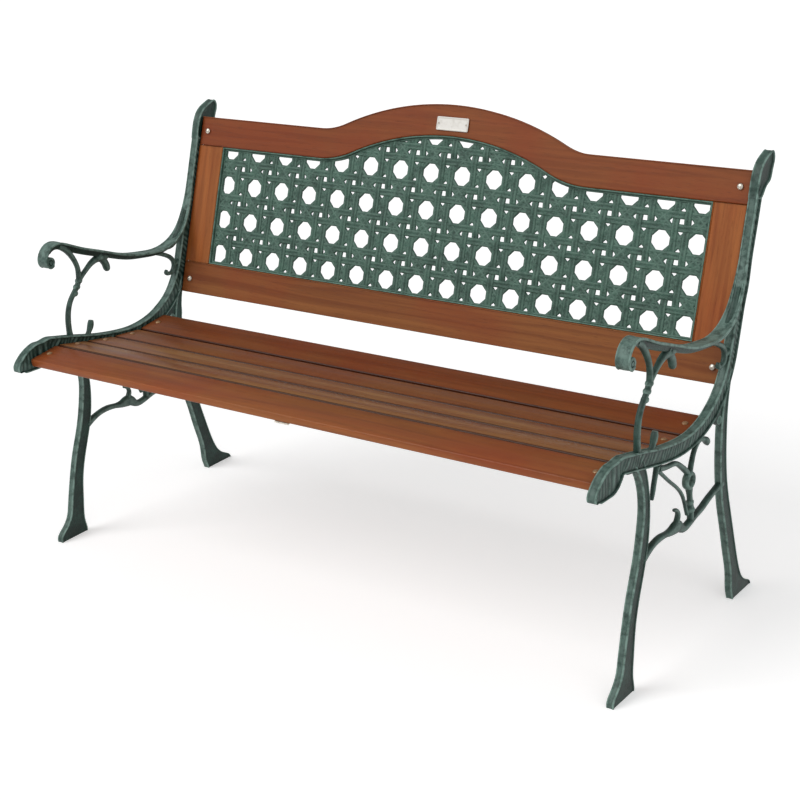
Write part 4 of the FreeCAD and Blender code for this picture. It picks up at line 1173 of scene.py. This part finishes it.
@dataclass
class Seat:
    """Five slats and the strap under them."""

    finishes: Finishes
    line: tuple[tuple[float, float], ...] = ((88.0, 378.0), (14.0, 368.0), (-60.0, 374.5), (-134.0, 387.5),
                                             (-208.0, 402.0), (-278.0, 393.5))
    gap: float = 6.0
    clearance: float = 1.0
    rounding: float = 3.0
    end_rounding: float = 1.6
    strap_half: float = 15.0
    strap_thickness: float = 3.0
    strap_rounding: float = 0.6
    # Width and fade of the painted shade along each slat's edges, beside the gaps.
    gap_shade_width: float = 3.4
    gap_shade_fade: float = 1.6

    @property
    def slats(self) -> list[Slat]:
        """The slats, rear to front, each between two joints of the seat line."""
        made = []
        for index, (rear, front) in enumerate(zip(self.line, self.line[1:])):
            chord = math.dist(rear, front)
            angle = math.atan2(rear[1] - front[1], rear[0] - front[0])
            rear_trim, front_trim = self.trim(index), self.trim(index + 1)
            width = chord - rear_trim - front_trim
            middle = front_trim + width / 2
            centre = (front[0] + math.cos(angle) * middle, front[1] + math.sin(angle) * middle)
            made.append(Slat(centre, width, angle))
        return made

    def trim(self, joint: int) -> float:
        """Half of the gap at a joint, opened where the seat is crowned so that lower edges stay clear.

        Args:
            joint: The joint's place in the seat line.

        Returns:
            What each of its two slats is cut back by.
        """
        if joint in (0, len(self.line) - 1):
            return 0.0
        (y0, z0), (y1, z1), (y2, z2) = self.line[joint - 1:joint + 2]
        crown = math.atan2(z1 - z2, y1 - y2) - math.atan2(z0 - z1, y0 - y1)
        return max(self.gap / 2, self.clearance / 2 + BENCH.slat_thickness * math.tan(crown / 2))

    def tones(self) -> list[dict]:
        """Slat tones, rear to front: outer ones redder, middle ones paler and golder, partly a painted
        highlight.
        """
        return [
            dict(body=(0.245, 0.060, 0.014), light=(0.34, 0.115, 0.030), gold=0.1),
            dict(body=(0.265, 0.078, 0.018), light=(0.42, 0.170, 0.048), gold=0.3),
            dict(body=(0.285, 0.096, 0.025), light=(0.52, 0.260, 0.088), gold=0.5),
            dict(body=(0.278, 0.086, 0.021), light=(0.47, 0.215, 0.066), gold=0.4),
            dict(body=(0.275, 0.070, 0.015), light=(0.42, 0.150, 0.037), gold=0.2),
        ]

    def board(self, slat: Slat, length: float, wobble: float) -> tuple[Points, Points]:
        """Rings of a slat: a rectangle with round corners carried along X, drawn in at both ends.

        A very small bow across its length keeps the edges from being dead straight.

        Args:
            slat: The slat.
            length: Half of its length.
            wobble: Height of the bow.

        Returns:
            The rings, and the board's own coordinates for its grain.
        """
        ends = np.array((0.0, 0.15, 0.5, 1.0))
        inset = self.end_rounding * np.array((1.0, 0.45, 0.12, 0.0))
        middle = np.linspace(-length + self.end_rounding, length - self.end_rounding, 40)
        first = -length + ends[:-1] * self.end_rounding
        final = length - ends[-2::-1] * self.end_rounding
        x = np.concatenate([first, middle, final])
        shrink = np.concatenate([inset[:-1], 0 * middle, inset[-2::-1]])
        section = np.stack([rounded_box_ring(slat.width / 2 - pull, -BENCH.slat_thickness + pull, -pull,
                                             self.rounding - pull * 0.5) for pull in shrink])
        bow = wobble * np.cos(x / length * math.pi * 0.5)
        section = section + np.stack([0 * bow, bow], axis=-1)[:, None, :]
        across, up = section[..., 0], section[..., 1]
        cosine, sine = math.cos(slat.angle), math.sin(slat.angle)
        y = slat.centre[0] + across * cosine - up * sine
        z = slat.centre[1] + across * sine + up * cosine
        wide = x[:, None] + 0 * y
        return np.stack([wide, y, z], axis=-1), np.stack([wide, across, up], axis=-1)

    def build(self) -> None:
        """Make each slat and the strap; slat edges get painted shade beside the gaps, but not the seat's front
        edge.
        """
        count = len(self.slats)
        for index, (slat, tone) in enumerate(zip(self.slats, self.tones())):
            number = count - index
            rings, grain = self.board(slat, BENCH.wood_half, 0.35 * (-1) ** index - 0.2)
            surface = Surface(f"slat_{number}_board")
            # Painted shade along the long edges beside the gaps; the seat's front edge has no gap and stays
            # clear.
            across = np.abs(grain[..., 1]) - slat.width / 2 + self.gap_shade_width
            stain = np.clip(across / self.gap_shade_fade, 0, 1)
            front_edge = (number == 1) & (grain[..., 1] < 0)
            surface.add_tube(rings, np.where(front_edge, 0.0, stain), grain=grain)
            material = self.finishes.board(f"slat_{number}", log=1.7 * number, **tone)
            settle(surface.to_object(material), "hardwood", f"seat_slat_{number}")
        self.build_strap()

    def build_strap(self) -> None:
        """The flat steel strap: it follows the slats' undersides from the rear edge to the front one."""
        low = BENCH.slat_thickness
        places = [(slat, end * (slat.width / 2 - 0.2)) for slat in self.slats for end in (1, -1)]
        top = np.array([slat.point(place, low) for slat, place in places])
        base = np.array([slat.point(place, low + self.strap_thickness) for slat, place in places])
        middle = 0.5 * (top + base)
        half, flat = self.strap_half, self.strap_half - self.strap_rounding
        corners = ((flat, top), (half, middle), (flat, base), (-flat, base), (-half, middle), (-flat, top))
        rings = np.stack([np.concatenate([np.full((len(top), 1), side), line], axis=-1)
                          for side, line in corners], axis=1)
        surface = Surface("strap_bar")
        surface.add_tube(rings, 0.0)
        settle(surface.to_object(self.finishes.zinc), "zinc_steel", "seat_strap")


# ---- back ----------------------------------------------------------------------------------------

@dataclass
class Back:
    """Rails, stiles, cast panel and plate of the back."""

    finishes: Finishes
    rounding: float = 1.8
    strand: float = 13.8
    diagonal: float = 17.0
    pair: float = 11.1
    pitch: float = 70.0
    weave_low: float = -15.0
    weave_depth: float = -8.4
    weave_lift: float = 1.0
    border: float = 6.8
    reach: float = 3.0
    fit: float = 0.5
    fine_step: float = 1.1
    ring_every: int = 5
    shortest: int = 12
    near_side: float = 2.0
    diagonal_wave: float = 0.8
    diagonal_sink: float = 0.7
    plate_half: float = 35.0
    plate_half_height: float = 12.5
    plate_corner: float = 2.5
    plate_drop: float = 7.0

    @staticmethod
    def bolt_rises() -> tuple[float, float]:
        """Places of the bolts up the slope: bottom rail, top rail."""
        return (BENCH.opening_low - BENCH.bottom_bolt_drop, BENCH.opening_top + BENCH.top_rail / 2)

    def board(self, along: Points, low: Points, high: Points, rabbet_low: Points, rabbet_high: Points,
              upright: bool = False) -> tuple[Points, Points]:
        """Rings of a board of the back.

        The section is a rectangle from low to high, as deep as the back is thick, with round corners. Where a
        rabbet value is over zero, that edge's rear corner is cut away by that much and by the rabbet's depth.

        Args:
            along: Places of the rings along the board.
            low: Lower (or inner) edge at each ring.
            high: Upper (or outer) edge at each ring.
            rabbet_low: Width of the rabbet at the low edge, at each ring.
            rabbet_high: Width of the rabbet at the high edge, at each ring.
            upright: True for a stile, whose length runs up the slope.

        Returns:
            The rings, and the board's own coordinates for its grain.
        """
        r, deep = self.rounding, BENCH.back_thickness
        corner = np.array((0.0, 0.3, 1.0)) * r
        step = BENCH.rabbet_depth
        edge_low = [(0, pull, -lift) for pull, lift in zip(corner[::-1], corner)]
        edge_high = [(1, -pull, -lift) for pull, lift in zip(corner, corner[::-1])]
        rear_high = [(1, 0.0, -deep + step, "h0"), (1, -1.0, -deep + step, "h"), (1, -1.0, -deep, "h")]
        rear_low = [(0, 1.0, -deep, "l"), (0, 1.0, -deep + step, "l"), (0, 0.0, -deep + step, "l0")]
        columns = []
        depths = []
        for side, pull, depth in edge_low + edge_high:
            columns.append(np.where(side, high, low) + pull)
            depths.append(np.full_like(along, depth))
        for side, pull, depth, kind in rear_high + rear_low:
            rabbet = rabbet_high if kind[0] == "h" else rabbet_low
            cut = rabbet > 0
            sunk = depth if depth == -deep else np.where(cut, depth, -deep)
            inwards = np.where(cut, rabbet, r if kind[-1] != "0" else 0.0)
            columns.append(np.where(side, high, low) + pull * inwards)
            depths.append(sunk + 0 * along + np.where(cut | (kind[-1] != "0"), 0.0, r))
        across = np.stack(columns, axis=1)
        depth = np.stack(depths, axis=1)
        long = along[:, None] + 0 * across
        x, rise = (across, long) if upright else (long, across)
        grain = np.stack([long, across, depth], axis=-1)
        return BENCH.on_back(x, rise, depth), grain

    @staticmethod
    def ends(half: float, breaks: tuple[float, ...], count: int, apart: float = 0.005) -> Points:
        """Places along a board, evenly spaced, and doubled a hair apart at sudden changes.

        Args:
            half: Half of the board's length.
            breaks: Where its section changes.
            count: How many even places.
            apart: How far each doubled place lies from its change.

        Returns:
            The places in order.
        """
        places = np.linspace(-half, half, count)
        close = [value + side * apart for value in breaks for side in (-1, 1)]
        return np.unique(np.concatenate([places, close]))

    def build_boards(self) -> None:
        """Top rail, bottom rail and the two stiles."""
        half, bench = BENCH.wood_half, BENCH
        reach = bench.opening_half + bench.rabbet_width
        along = self.ends(half, (-reach, reach), 161)
        rabbet = np.where(np.abs(along) < reach, bench.rabbet_width, 0.0)
        nothing = 0 * along
        tones = dict(body=(0.232, 0.060, 0.015), light=(0.33, 0.108, 0.029), gold=0.05)
        high = bench.arch(along, bench.top_rail)
        rings, grain = self.board(along, bench.arch(along), high, rabbet, nothing)
        self.finish_board("top_rail", rings, grain, 11.3, tones)
        along = self.ends(half, (-reach, reach), 61)
        rabbet = np.where(np.abs(along) < reach, bench.rabbet_width, 0.0)
        low = np.full_like(along, bench.opening_low - bench.bottom_rail)
        high = np.full_like(along, bench.opening_low)
        rings, grain = self.board(along, low, high, 0 * along, rabbet)
        self.finish_board("bottom_rail", rings, grain, 13.1, dict(body=(0.245, 0.078, 0.021), gold=0.12))
        along = np.linspace(bench.opening_low + 0.25, bench.opening_top - 0.25, 20)
        rabbet = np.full_like(along, bench.rabbet_width)
        for name, side in (("left_stile", -1), ("right_stile", 1)):
            inner, outer = side * bench.opening_half + 0 * along, side * half + 0 * along
            if side > 0:
                rings, grain = self.board(along, inner, outer, rabbet, 0 * along, upright=True)
            else:
                rings, grain = self.board(along, outer, inner, 0 * along, rabbet, upright=True)
            tone = dict(body=(0.330, 0.090, 0.020), light=(0.48, 0.170, 0.042), gold=0.3)
            self.finish_board(name, rings, grain, 17.9 + side, tone)

    def finish_board(self, name: str, rings: Points, grain: Points, log_place: float, tone: dict) -> None:
        """Make a board's piece and settle it.

        Args:
            name: The board's name.
            rings: Its rings.
            grain: Its own coordinates.
            log_place: Its place in the log.
            tone: Its hardwood's tone.
        """
        surface = Surface(f"{name}_board")
        surface.add_tube(rings, 0.0, grain=grain)
        material = self.finishes.board(name, log=log_place, **tone)
        settle(surface.to_object(material, crease=46), "hardwood", f"back_{name}")

    def outline(self, offset: float) -> tuple[Points, Points]:
        """Opening's outline: the arch left to right, then down, back and up.

        Args:
            offset: How far it is moved outwards.

        Returns:
            Places along the bench and rises up the slope.
        """
        half = BENCH.opening_half + offset
        low = BENCH.opening_low - offset
        x_top = np.linspace(-half, half, 150)
        top = BENCH.arch(x_top, offset)
        x_side = np.full(14, half)
        side = np.linspace(top[-1], low, 16)[1:-1]
        x_low = np.linspace(half, -half, 60)
        x = np.concatenate([x_top, x_side, x_low, -x_side])
        rise = np.concatenate([top, side, np.full(60, low), side[::-1]])
        return x, rise

    def add_rim(self, surface: Surface) -> None:
        """Raised rim, lower border and rear flange of the panel: one section carried round the opening."""
        rear = -BENCH.back_thickness
        ledge = rear + BENCH.rabbet_depth
        flange = BENCH.rabbet_width - self.fit
        inner = -self.border
        profile = ((-4.2, rear + 0.4, 0), (-4.2, -12, 0), (inner, -12, 0), (inner, -6.6, 0.3),
                   (inner + 0.7, -5.7, 0.7), (inner + 1.6, -5.4, 0.5), (-3.5, -5.6, 0.1), (-3.1, -1.9, 0.4),
                   (-2.5, -1.1, 1), (-1.2, -1.0, 1), (-self.fit, -1.8, 0.8), (-self.fit, ledge, 0),
                   (flange - 0.6, ledge, 0), (flange, ledge - 0.6, 0.3), (flange, rear + 0.6, 0.3),
                   (flange - 0.6, rear, 0.2))
        rings, mask = [], []
        for offset, depth, ridge in profile:
            x, rise = self.outline(offset)
            rings.append(BENCH.on_back(x, rise, np.full_like(x, depth)))
            mask.append(np.full_like(x, ridge))
        surface.add_tube(np.stack(rings, axis=1), np.stack(mask, axis=1), closed=True)

    def inside(self, x: Points, rise: Points) -> Points:
        """Whether places lie in the opening, as far out as the strands run on under the border."""
        return ((np.abs(x) < BENCH.opening_half - self.reach) & (rise > BENCH.opening_low + self.reach)
                & (rise < BENCH.arch(x, -self.reach)))

    def add_strand(self, surface: Surface, x: Points, rise: Points, lift: Points, width: float) -> None:
        """One cane strand: a flat band with two low reeds on its face, kept where it lies in the opening.

        The ends of a slanting strand are cut along the border.

        Args:
            surface: The panel's surface.
            x: Places along the bench, at close steps.
            rise: Places up the slope.
            lift: How far the strand is woven forwards at each place.
            width: Width of the band.
        """
        keep = np.flatnonzero(self.inside(x, rise))
        if len(keep) < self.shortest:
            return
        keep = keep[np.linspace(0, len(keep) - 1, max(4, len(keep) // self.ring_every)).astype(int)]
        x, rise, lift = x[keep], rise[keep], lift[keep]
        run = np.array([x[-1] - x[0], rise[-1] - rise[0]])
        run /= np.linalg.norm(run)
        half = width / 2
        across = np.array((-1.0, -0.92, -0.62, -0.28, 0.0, 0.28, 0.62, 0.92, 1.0, 0.9, -0.9)) * half
        height = np.array((0.0, 1.5, 2.3, 2.1, 1.6, 2.1, 2.3, 1.5, 0.0, -2.4, -2.4))
        ridge = np.array((0.1, 0.35, 0.8, 0.35, 0.0, 0.35, 0.8, 0.35, 0.1, 0, 0))
        depth = self.weave_depth + lift[:, None] + height
        slanting = min(abs(run)) > 0.3
        slide = np.zeros((len(x), len(across)))
        for end in (0, -1) if slanting else ():
            at_side = BENCH.opening_half - self.reach - abs(x[end]) < self.near_side
            slide[end] = across * (run[1] / run[0] if at_side else -run[0] / run[1])
        wide = x[:, None] - across * run[1] + slide * run[0]
        high = rise[:, None] + across * run[0] + slide * run[1]
        surface.add_tube(BENCH.on_back(wide, high, depth), ridge * 0.8 + 0 * lift[:, None])

    def woven(self, along: Points, origin: float, side: int) -> Points:
        """Lift of one strand of a pair: forwards over one strand of each pair it crosses, back at the other.

        Args:
            along: Places along the strand.
            origin: Where the crossing pairs start.
            side: Which way it goes first, -1 or 1.

        Returns:
            The lift at each place.
        """
        near = (along - origin + self.pitch / 2) % self.pitch - self.pitch / 2
        return self.weave_lift * side * np.sin(np.pi * np.clip(near / (2 * self.pair), -1, 1))

    def build_panel(self) -> None:
        """The cane weave: upright and level pairs, and single diagonals both ways, each over and under."""
        surface = Surface("cane_weave_panel")
        self.add_rim(surface)
        pitch, pair = self.pitch, self.pair
        columns = int(BENCH.opening_half / pitch) + 1
        rows = int((BENCH.opening_top + BENCH.arch_rise) / pitch) + 2
        top = BENCH.opening_top + BENCH.arch_rise
        up = np.arange(BENCH.opening_low, top, self.fine_step)
        level = np.arange(-BENCH.opening_half, BENCH.opening_half, self.fine_step)
        for step in range(-columns, columns + 1):
            for side in (-1, 1):
                x = np.full_like(up, step * pitch + side * pair)
                self.add_strand(surface, x, up, self.woven(up, self.weave_low, side), self.strand)
        for step in range(rows + 1):
            for side in (-1, 1):
                rise = np.full_like(level, self.weave_low + step * pitch + side * pair)
                self.add_strand(surface, level, rise, self.woven(level, 0.0, -side), self.strand)
        far = columns + rows + 2
        for lean in (-1, 1):
            for step in range(-far, far + 1):
                x = lean * ((step + 0.5) * pitch - (up - self.weave_low))
                phase = np.pi * (x - lean * (up - self.weave_low)) / pitch
                wave = self.diagonal_wave * self.weave_lift * lean * (-1) ** step * np.sin(phase)
                self.add_strand(surface, x, up, wave - self.diagonal_sink, self.diagonal)
        settle(surface.to_object(self.finishes.weave, crease=50), "cast_iron", "lattice_panel")

    def build_plate(self) -> None:
        """The blank plate: a shallow pillow with a raised border."""
        low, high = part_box("name_plate")
        middle_x = (low[0] + high[0]) / 2 / MM
        rise = BENCH.opening_top + BENCH.arch_rise + BENCH.top_rail / 2 - self.plate_drop
        levels = ((0.0, 0.0, 0.4), (0.0, 0.9, 0.8), (0.5, 1.25, 0.9), (1.9, 1.25, 0.5), (2.6, 0.75, 0.9),
                  (4.0, 0.7, 0.15), (8.0, 0.72, 0.0), (12.0, 0.74, 0.0))
        rings, mask = [], []
        for inset, lift, stain in levels:
            high_edge = self.plate_half_height - inset
            corner = max(0.4, self.plate_corner - inset * 0.5)
            outline = rounded_box_ring(self.plate_half - inset, -high_edge, high_edge, corner, 5)
            x, up = middle_x + outline[:, 0], rise + outline[:, 1]
            rings.append(BENCH.on_back(x, up, np.full(len(outline), lift)))
            mask.append(np.full(len(outline), stain))
        surface = Surface("blank_plate")
        surface.add_tube(np.stack(rings), np.stack(mask))
        settle(surface.to_object(self.finishes.enamel), "plate_enamel", "name_plate")

    def build(self) -> None:
        """Everything in the back."""
        self.build_boards()
        self.build_panel()
        self.build_plate()


# ---- fasteners -----------------------------------------------------------------------------------

@dataclass(frozen=True)
class Stand:
    """Where a fastener stands: a point and the direction its head faces."""

    point: Points
    axis: Points

    def carry(self, rings: Points) -> Points:
        """Turn rings drawn about +Z to this stand's axis and move them to its point."""
        x = np.array([1.0, 0.0, 0.0])
        y = np.cross(self.axis, x)
        return self.point + rings[..., 0:1] * x + rings[..., 1:2] * y + rings[..., 2:3] * self.axis


@dataclass
class Fasteners:
    """Domed bolts with washers and nuts, and the finish of the screws, pins and dowels."""

    finishes: Finishes
    seat: Seat
    seat_inset: float = 26.5
    back_inset: float = 28.0
    lug: float = 5.0
    head_radius: float = 5.5
    head_height: float = 2.9
    head_rim: float = 0.4
    shank: float = 3.0
    tail: float = 3.0
    washer: float = 1.6
    washer_radius: float = 7.0
    nut: float = 5.0

    def seat_stands(self) -> list[Stand]:
        """Stands on the slats' top faces."""
        x = BENCH.frame_x - self.seat_inset
        stands = []
        for slat in self.seat.slats:
            axis = np.array([0, -math.sin(slat.angle), math.cos(slat.angle)])
            stands += [Stand(np.array([side * x, *slat.centre]), axis) for side in (-1, 1)]
        return stands

    def back_stands(self) -> list[Stand]:
        """Stands on the back's front face."""
        x = BENCH.frame_x - self.back_inset
        zero = np.array(0.0)
        return [Stand(BENCH.on_back(np.array(side * x), np.array(rise), zero), BENCH.out)
                for rise in Back.bolt_rises() for side in (-1, 1)]

    @staticmethod
    def turned(name: str, stands: list[Stand], profile: Points, finish: bpy.types.Material, node: str) -> None:
        """A turned shape repeated at each stand, in one piece.

        Args:
            name: The piece's name.
            stands: Where it is repeated.
            profile: Rows of radius and height.
            finish: Its material.
            node: The CAD node that it stands for.
        """
        surface = Surface(name)
        for stand in stands:
            surface.add_tube(stand.carry(lathe(profile, 24)), 0.0)
        settle(surface.to_object(finish), "zinc_steel", node)

    def build_set(self, prefix: str, stands: list[Stand], grip: float, finish: bpy.types.Material) -> None:
        """Bolts, washers and nuts of one kind of joint.

        The dome is an ellipse quarter with a small flat rim; the shank shows only below the nut.

        Args:
            prefix: Start of the pieces' names.
            stands: Where the bolts stand.
            grip: What each bolt holds together, its washer and nut apart.
            finish: The bolts' material.
        """
        angle = np.linspace(0, math.pi / 2, 8)
        dome = np.stack([self.head_radius * np.cos(angle),
                         self.head_rim + (self.head_height - self.head_rim) * np.sin(angle)], axis=-1)
        end = -(grip + self.washer + self.nut + self.tail)
        shank = [(0.01, end), (self.shank - 0.8, end), (self.shank, end + 0.8), (self.shank, 0.0)]
        bolt = np.concatenate([shank, [(self.head_radius, 0.0)], dome[:-1], [(0.01, self.head_height)]])
        self.turned(f"{prefix}_bolt_set", stands, bolt, finish, f"{prefix}_bolts")
        hole, rim, low = self.shank + 0.3, self.washer_radius, -grip - self.washer
        washer = np.array([(hole, low), (rim - 0.3, low), (rim, low + 0.3), (rim, -grip - 0.3),
                           (rim - 0.3, -grip), (hole, -grip)])
        surface = Surface(f"{prefix}_washer_set")
        for stand in stands:
            rings = np.swapaxes(lathe(washer, 24), 0, 1)
            surface.add_tube(stand.carry(rings), 0.0, closed=True)
        settle(surface.to_object(self.finishes.zinc), "zinc_steel", f"{prefix}_washers")
        self.build_nuts(prefix, stands, grip + self.washer)

    def build_nuts(self, prefix: str, stands: list[Stand], top: float) -> None:
        """Hexagon nuts: the radius follows a hexagon, cut back near both faces as a chamfer.

        Args:
            prefix: Start of the piece's name.
            stands: Where the bolts stand.
            top: How far each nut's upper face lies below its stand.
        """
        turn = np.linspace(0, 2 * math.pi, 36, endpoint=False)
        sector = (turn + math.pi / 6) % (math.pi / 3) - math.pi / 6
        hexagon = 5.0 / np.cos(sector)
        surface = Surface(f"{prefix}_nut_set")
        rows = ((3.1, 0.0), (5.0, 0.0), (5.35, -0.35), (6.0, -0.9), (6.0, -4.1), (5.35, -4.65),
                (5.0, -self.nut), (3.1, -self.nut))
        rings = []
        for limit, height in rows:
            radius = np.minimum(hexagon, limit)
            level = height - top + 0 * turn
            rings.append(np.stack([radius * np.cos(turn), radius * np.sin(turn), level], axis=-1))
        grid = np.stack(rings, axis=1)
        for stand in stands:
            surface.add_tube(stand.carry(grid), 0.0, closed=True)
        settle(surface.to_object(self.finishes.zinc), "zinc_steel", f"{prefix}_nuts")

    def dress_small(self) -> None:
        """Screws and pins keep their CAD shape and take the zinc finish; dowels take the wood's."""
        for node in ("panel_screws", "strap_screws", "name_plate_pins"):
            self.dress(node, self.finishes.zinc)
        self.dress("stile_dowels", self.finishes.board("dowels", 5.0))

    @staticmethod
    def dress(node: str, material: bpy.types.Material) -> None:
        """Give a CAD node one finish."""
        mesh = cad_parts[node].data
        mesh.materials.clear()
        mesh.materials.append(material)

    def build(self) -> None:
        """All of the fasteners."""
        self.build_set("seat", self.seat_stands(), BENCH.slat_thickness + self.lug, self.finishes.bronze)
        self.build_set("back", self.back_stands(), BENCH.back_thickness + self.lug, self.finishes.zinc)
        self.dress_small()


# ---- studio --------------------------------------------------------------------------------------

@dataclass
class Studio:
    """Camera, two soft suns, pale floor and white surroundings."""

    eye: tuple[float, float, float] = (1.7628, -2.3172, 1.4147)
    azimuth: float = 36.487
    elevation: float = 20.528
    roll: float = -2.98
    lens: float = 76.52
    ambient: float = 0.42
    lift: float = 0.42
    floor_half: float = 14.0

    def camera(self) -> None:
        """The camera: it looks along its azimuth and down by its elevation, with a slight roll."""
        az, el, roll = (math.radians(value) for value in (self.azimuth, self.elevation, self.roll))
        forward = np.array([-math.sin(az) * math.cos(el), math.cos(az) * math.cos(el), -math.sin(el)])
        right = np.array([math.cos(az), math.sin(az), 0.0])
        up = np.cross(right, forward)
        tilted_right = math.cos(roll) * right + math.sin(roll) * up
        tilted_up = -math.sin(roll) * right + math.cos(roll) * up
        data = bpy.data.cameras.new("camera")
        data.lens = self.lens
        data.sensor_width = 36.0
        camera = bpy.data.objects.new("camera", data)
        bpy.context.collection.objects.link(camera)
        matrix = np.eye(4)
        matrix[:3, 0], matrix[:3, 1], matrix[:3, 2], matrix[:3, 3] = tilted_right, tilted_up, -forward, self.eye
        camera.matrix_world = Matrix(matrix.tolist())
        bpy.context.scene.camera = camera

    def sun(self, name: str, toward: tuple[float, float, float], spread: float, power: float) -> None:
        """A soft distant light, the same all over the floor.

        Args:
            name: The lamp's name.
            toward: Direction from the bench to the light.
            spread: How wide the light looks from the bench, in degrees.
            power: Its strength.
        """
        data = bpy.data.lights.new(name, "SUN")
        data.angle = math.radians(spread)
        data.energy = power
        lamp = bpy.data.objects.new(name, data)
        bpy.context.collection.objects.link(lamp)
        back = np.array(toward) / np.linalg.norm(toward)
        side = np.cross([0.0, 0.0, 1.0], back)
        side /= np.linalg.norm(side)
        matrix = np.eye(4)
        matrix[:3, 0], matrix[:3, 1], matrix[:3, 2] = side, np.cross(back, side), back
        lamp.matrix_world = Matrix(matrix.tolist())

    def floor(self) -> None:
        """A wide pale floor, lifted to white where the camera or a reflection sees it in full light."""
        made, graph, shader = new_material("pale_floor")
        seen = self.seen(graph)
        shader.inputs["Base Color"].default_value = (0.86, 0.86, 0.86, 1)
        shader.inputs["Roughness"].default_value = 0.9
        shader.inputs["Specular IOR Level"].default_value = 0.1
        shader.inputs["Emission Color"].default_value = (1, 1, 1, 1)
        lift = graph.node("ShaderNodeMapRange", {"Value": seen, "To Min": 0.0, "To Max": self.lift})
        graph.tree.links.new(lift.outputs["Result"], shader.inputs["Emission Strength"])
        mesh = bpy.data.meshes.new("floor")
        far = self.floor_half
        mesh.from_pydata([(-far, -far, 0), (far, -far, 0), (far, far, 0), (-far, far, 0)], [], [(0, 1, 2, 3)])
        mesh.materials.append(made)
        floor = bpy.data.objects.new("floor", mesh)
        bpy.context.collection.objects.link(floor)

    @staticmethod
    def seen(graph: Graph) -> bpy.types.NodeSocket:
        """One for rays from the camera, a mirror or through glass, zero for diffuse light."""
        path = graph.node("ShaderNodeLightPath")
        mirror = graph.maths("MAXIMUM", path.outputs["Is Glossy Ray"], path.outputs["Is Transmission Ray"])
        return graph.maths("MAXIMUM", path.outputs["Is Camera Ray"], mirror)

    def surroundings(self) -> None:
        """White where the camera sees it, a gentler light elsewhere."""
        world = bpy.data.worlds.new("studio")
        world.use_nodes = True
        graph = Graph(world.node_tree)
        path = graph.node("ShaderNodeLightPath")
        strength = graph.node("ShaderNodeMapRange", {"Value": path.outputs["Is Camera Ray"],
                                                     "To Min": self.ambient, "To Max": 1.0})
        back = world.node_tree.nodes["Background"]
        back.inputs["Color"].default_value = (1, 1, 1, 1)
        world.node_tree.links.new(strength.outputs["Result"], back.inputs["Strength"])
        bpy.context.scene.world = world

    def build(self) -> None:
        """Set the studio up."""
        self.camera()
        self.floor()
        self.surroundings()
        self.sun("key", (-0.55, -0.75, 0.85), spread=38, power=1.35)
        self.sun("fill", (0.9, -0.7, 0.6), spread=60, power=0.5)
        bpy.context.scene.view_settings.view_transform = "Standard"


def main() -> None:
    """Build the bench and the studio around it."""
    logging.basicConfig(level=logging.INFO, format="%(name)s: %(message)s")
    finishes = Finishes()
    seat = Seat(finishes)
    for side in (-1, 1):
        EndFrame(side, finishes).build(seat)
    seat.build()
    Back(finishes).build()
    Fasteners(finishes, seat).build()
    Studio().build()


if __name__ == "__main__":
    main()
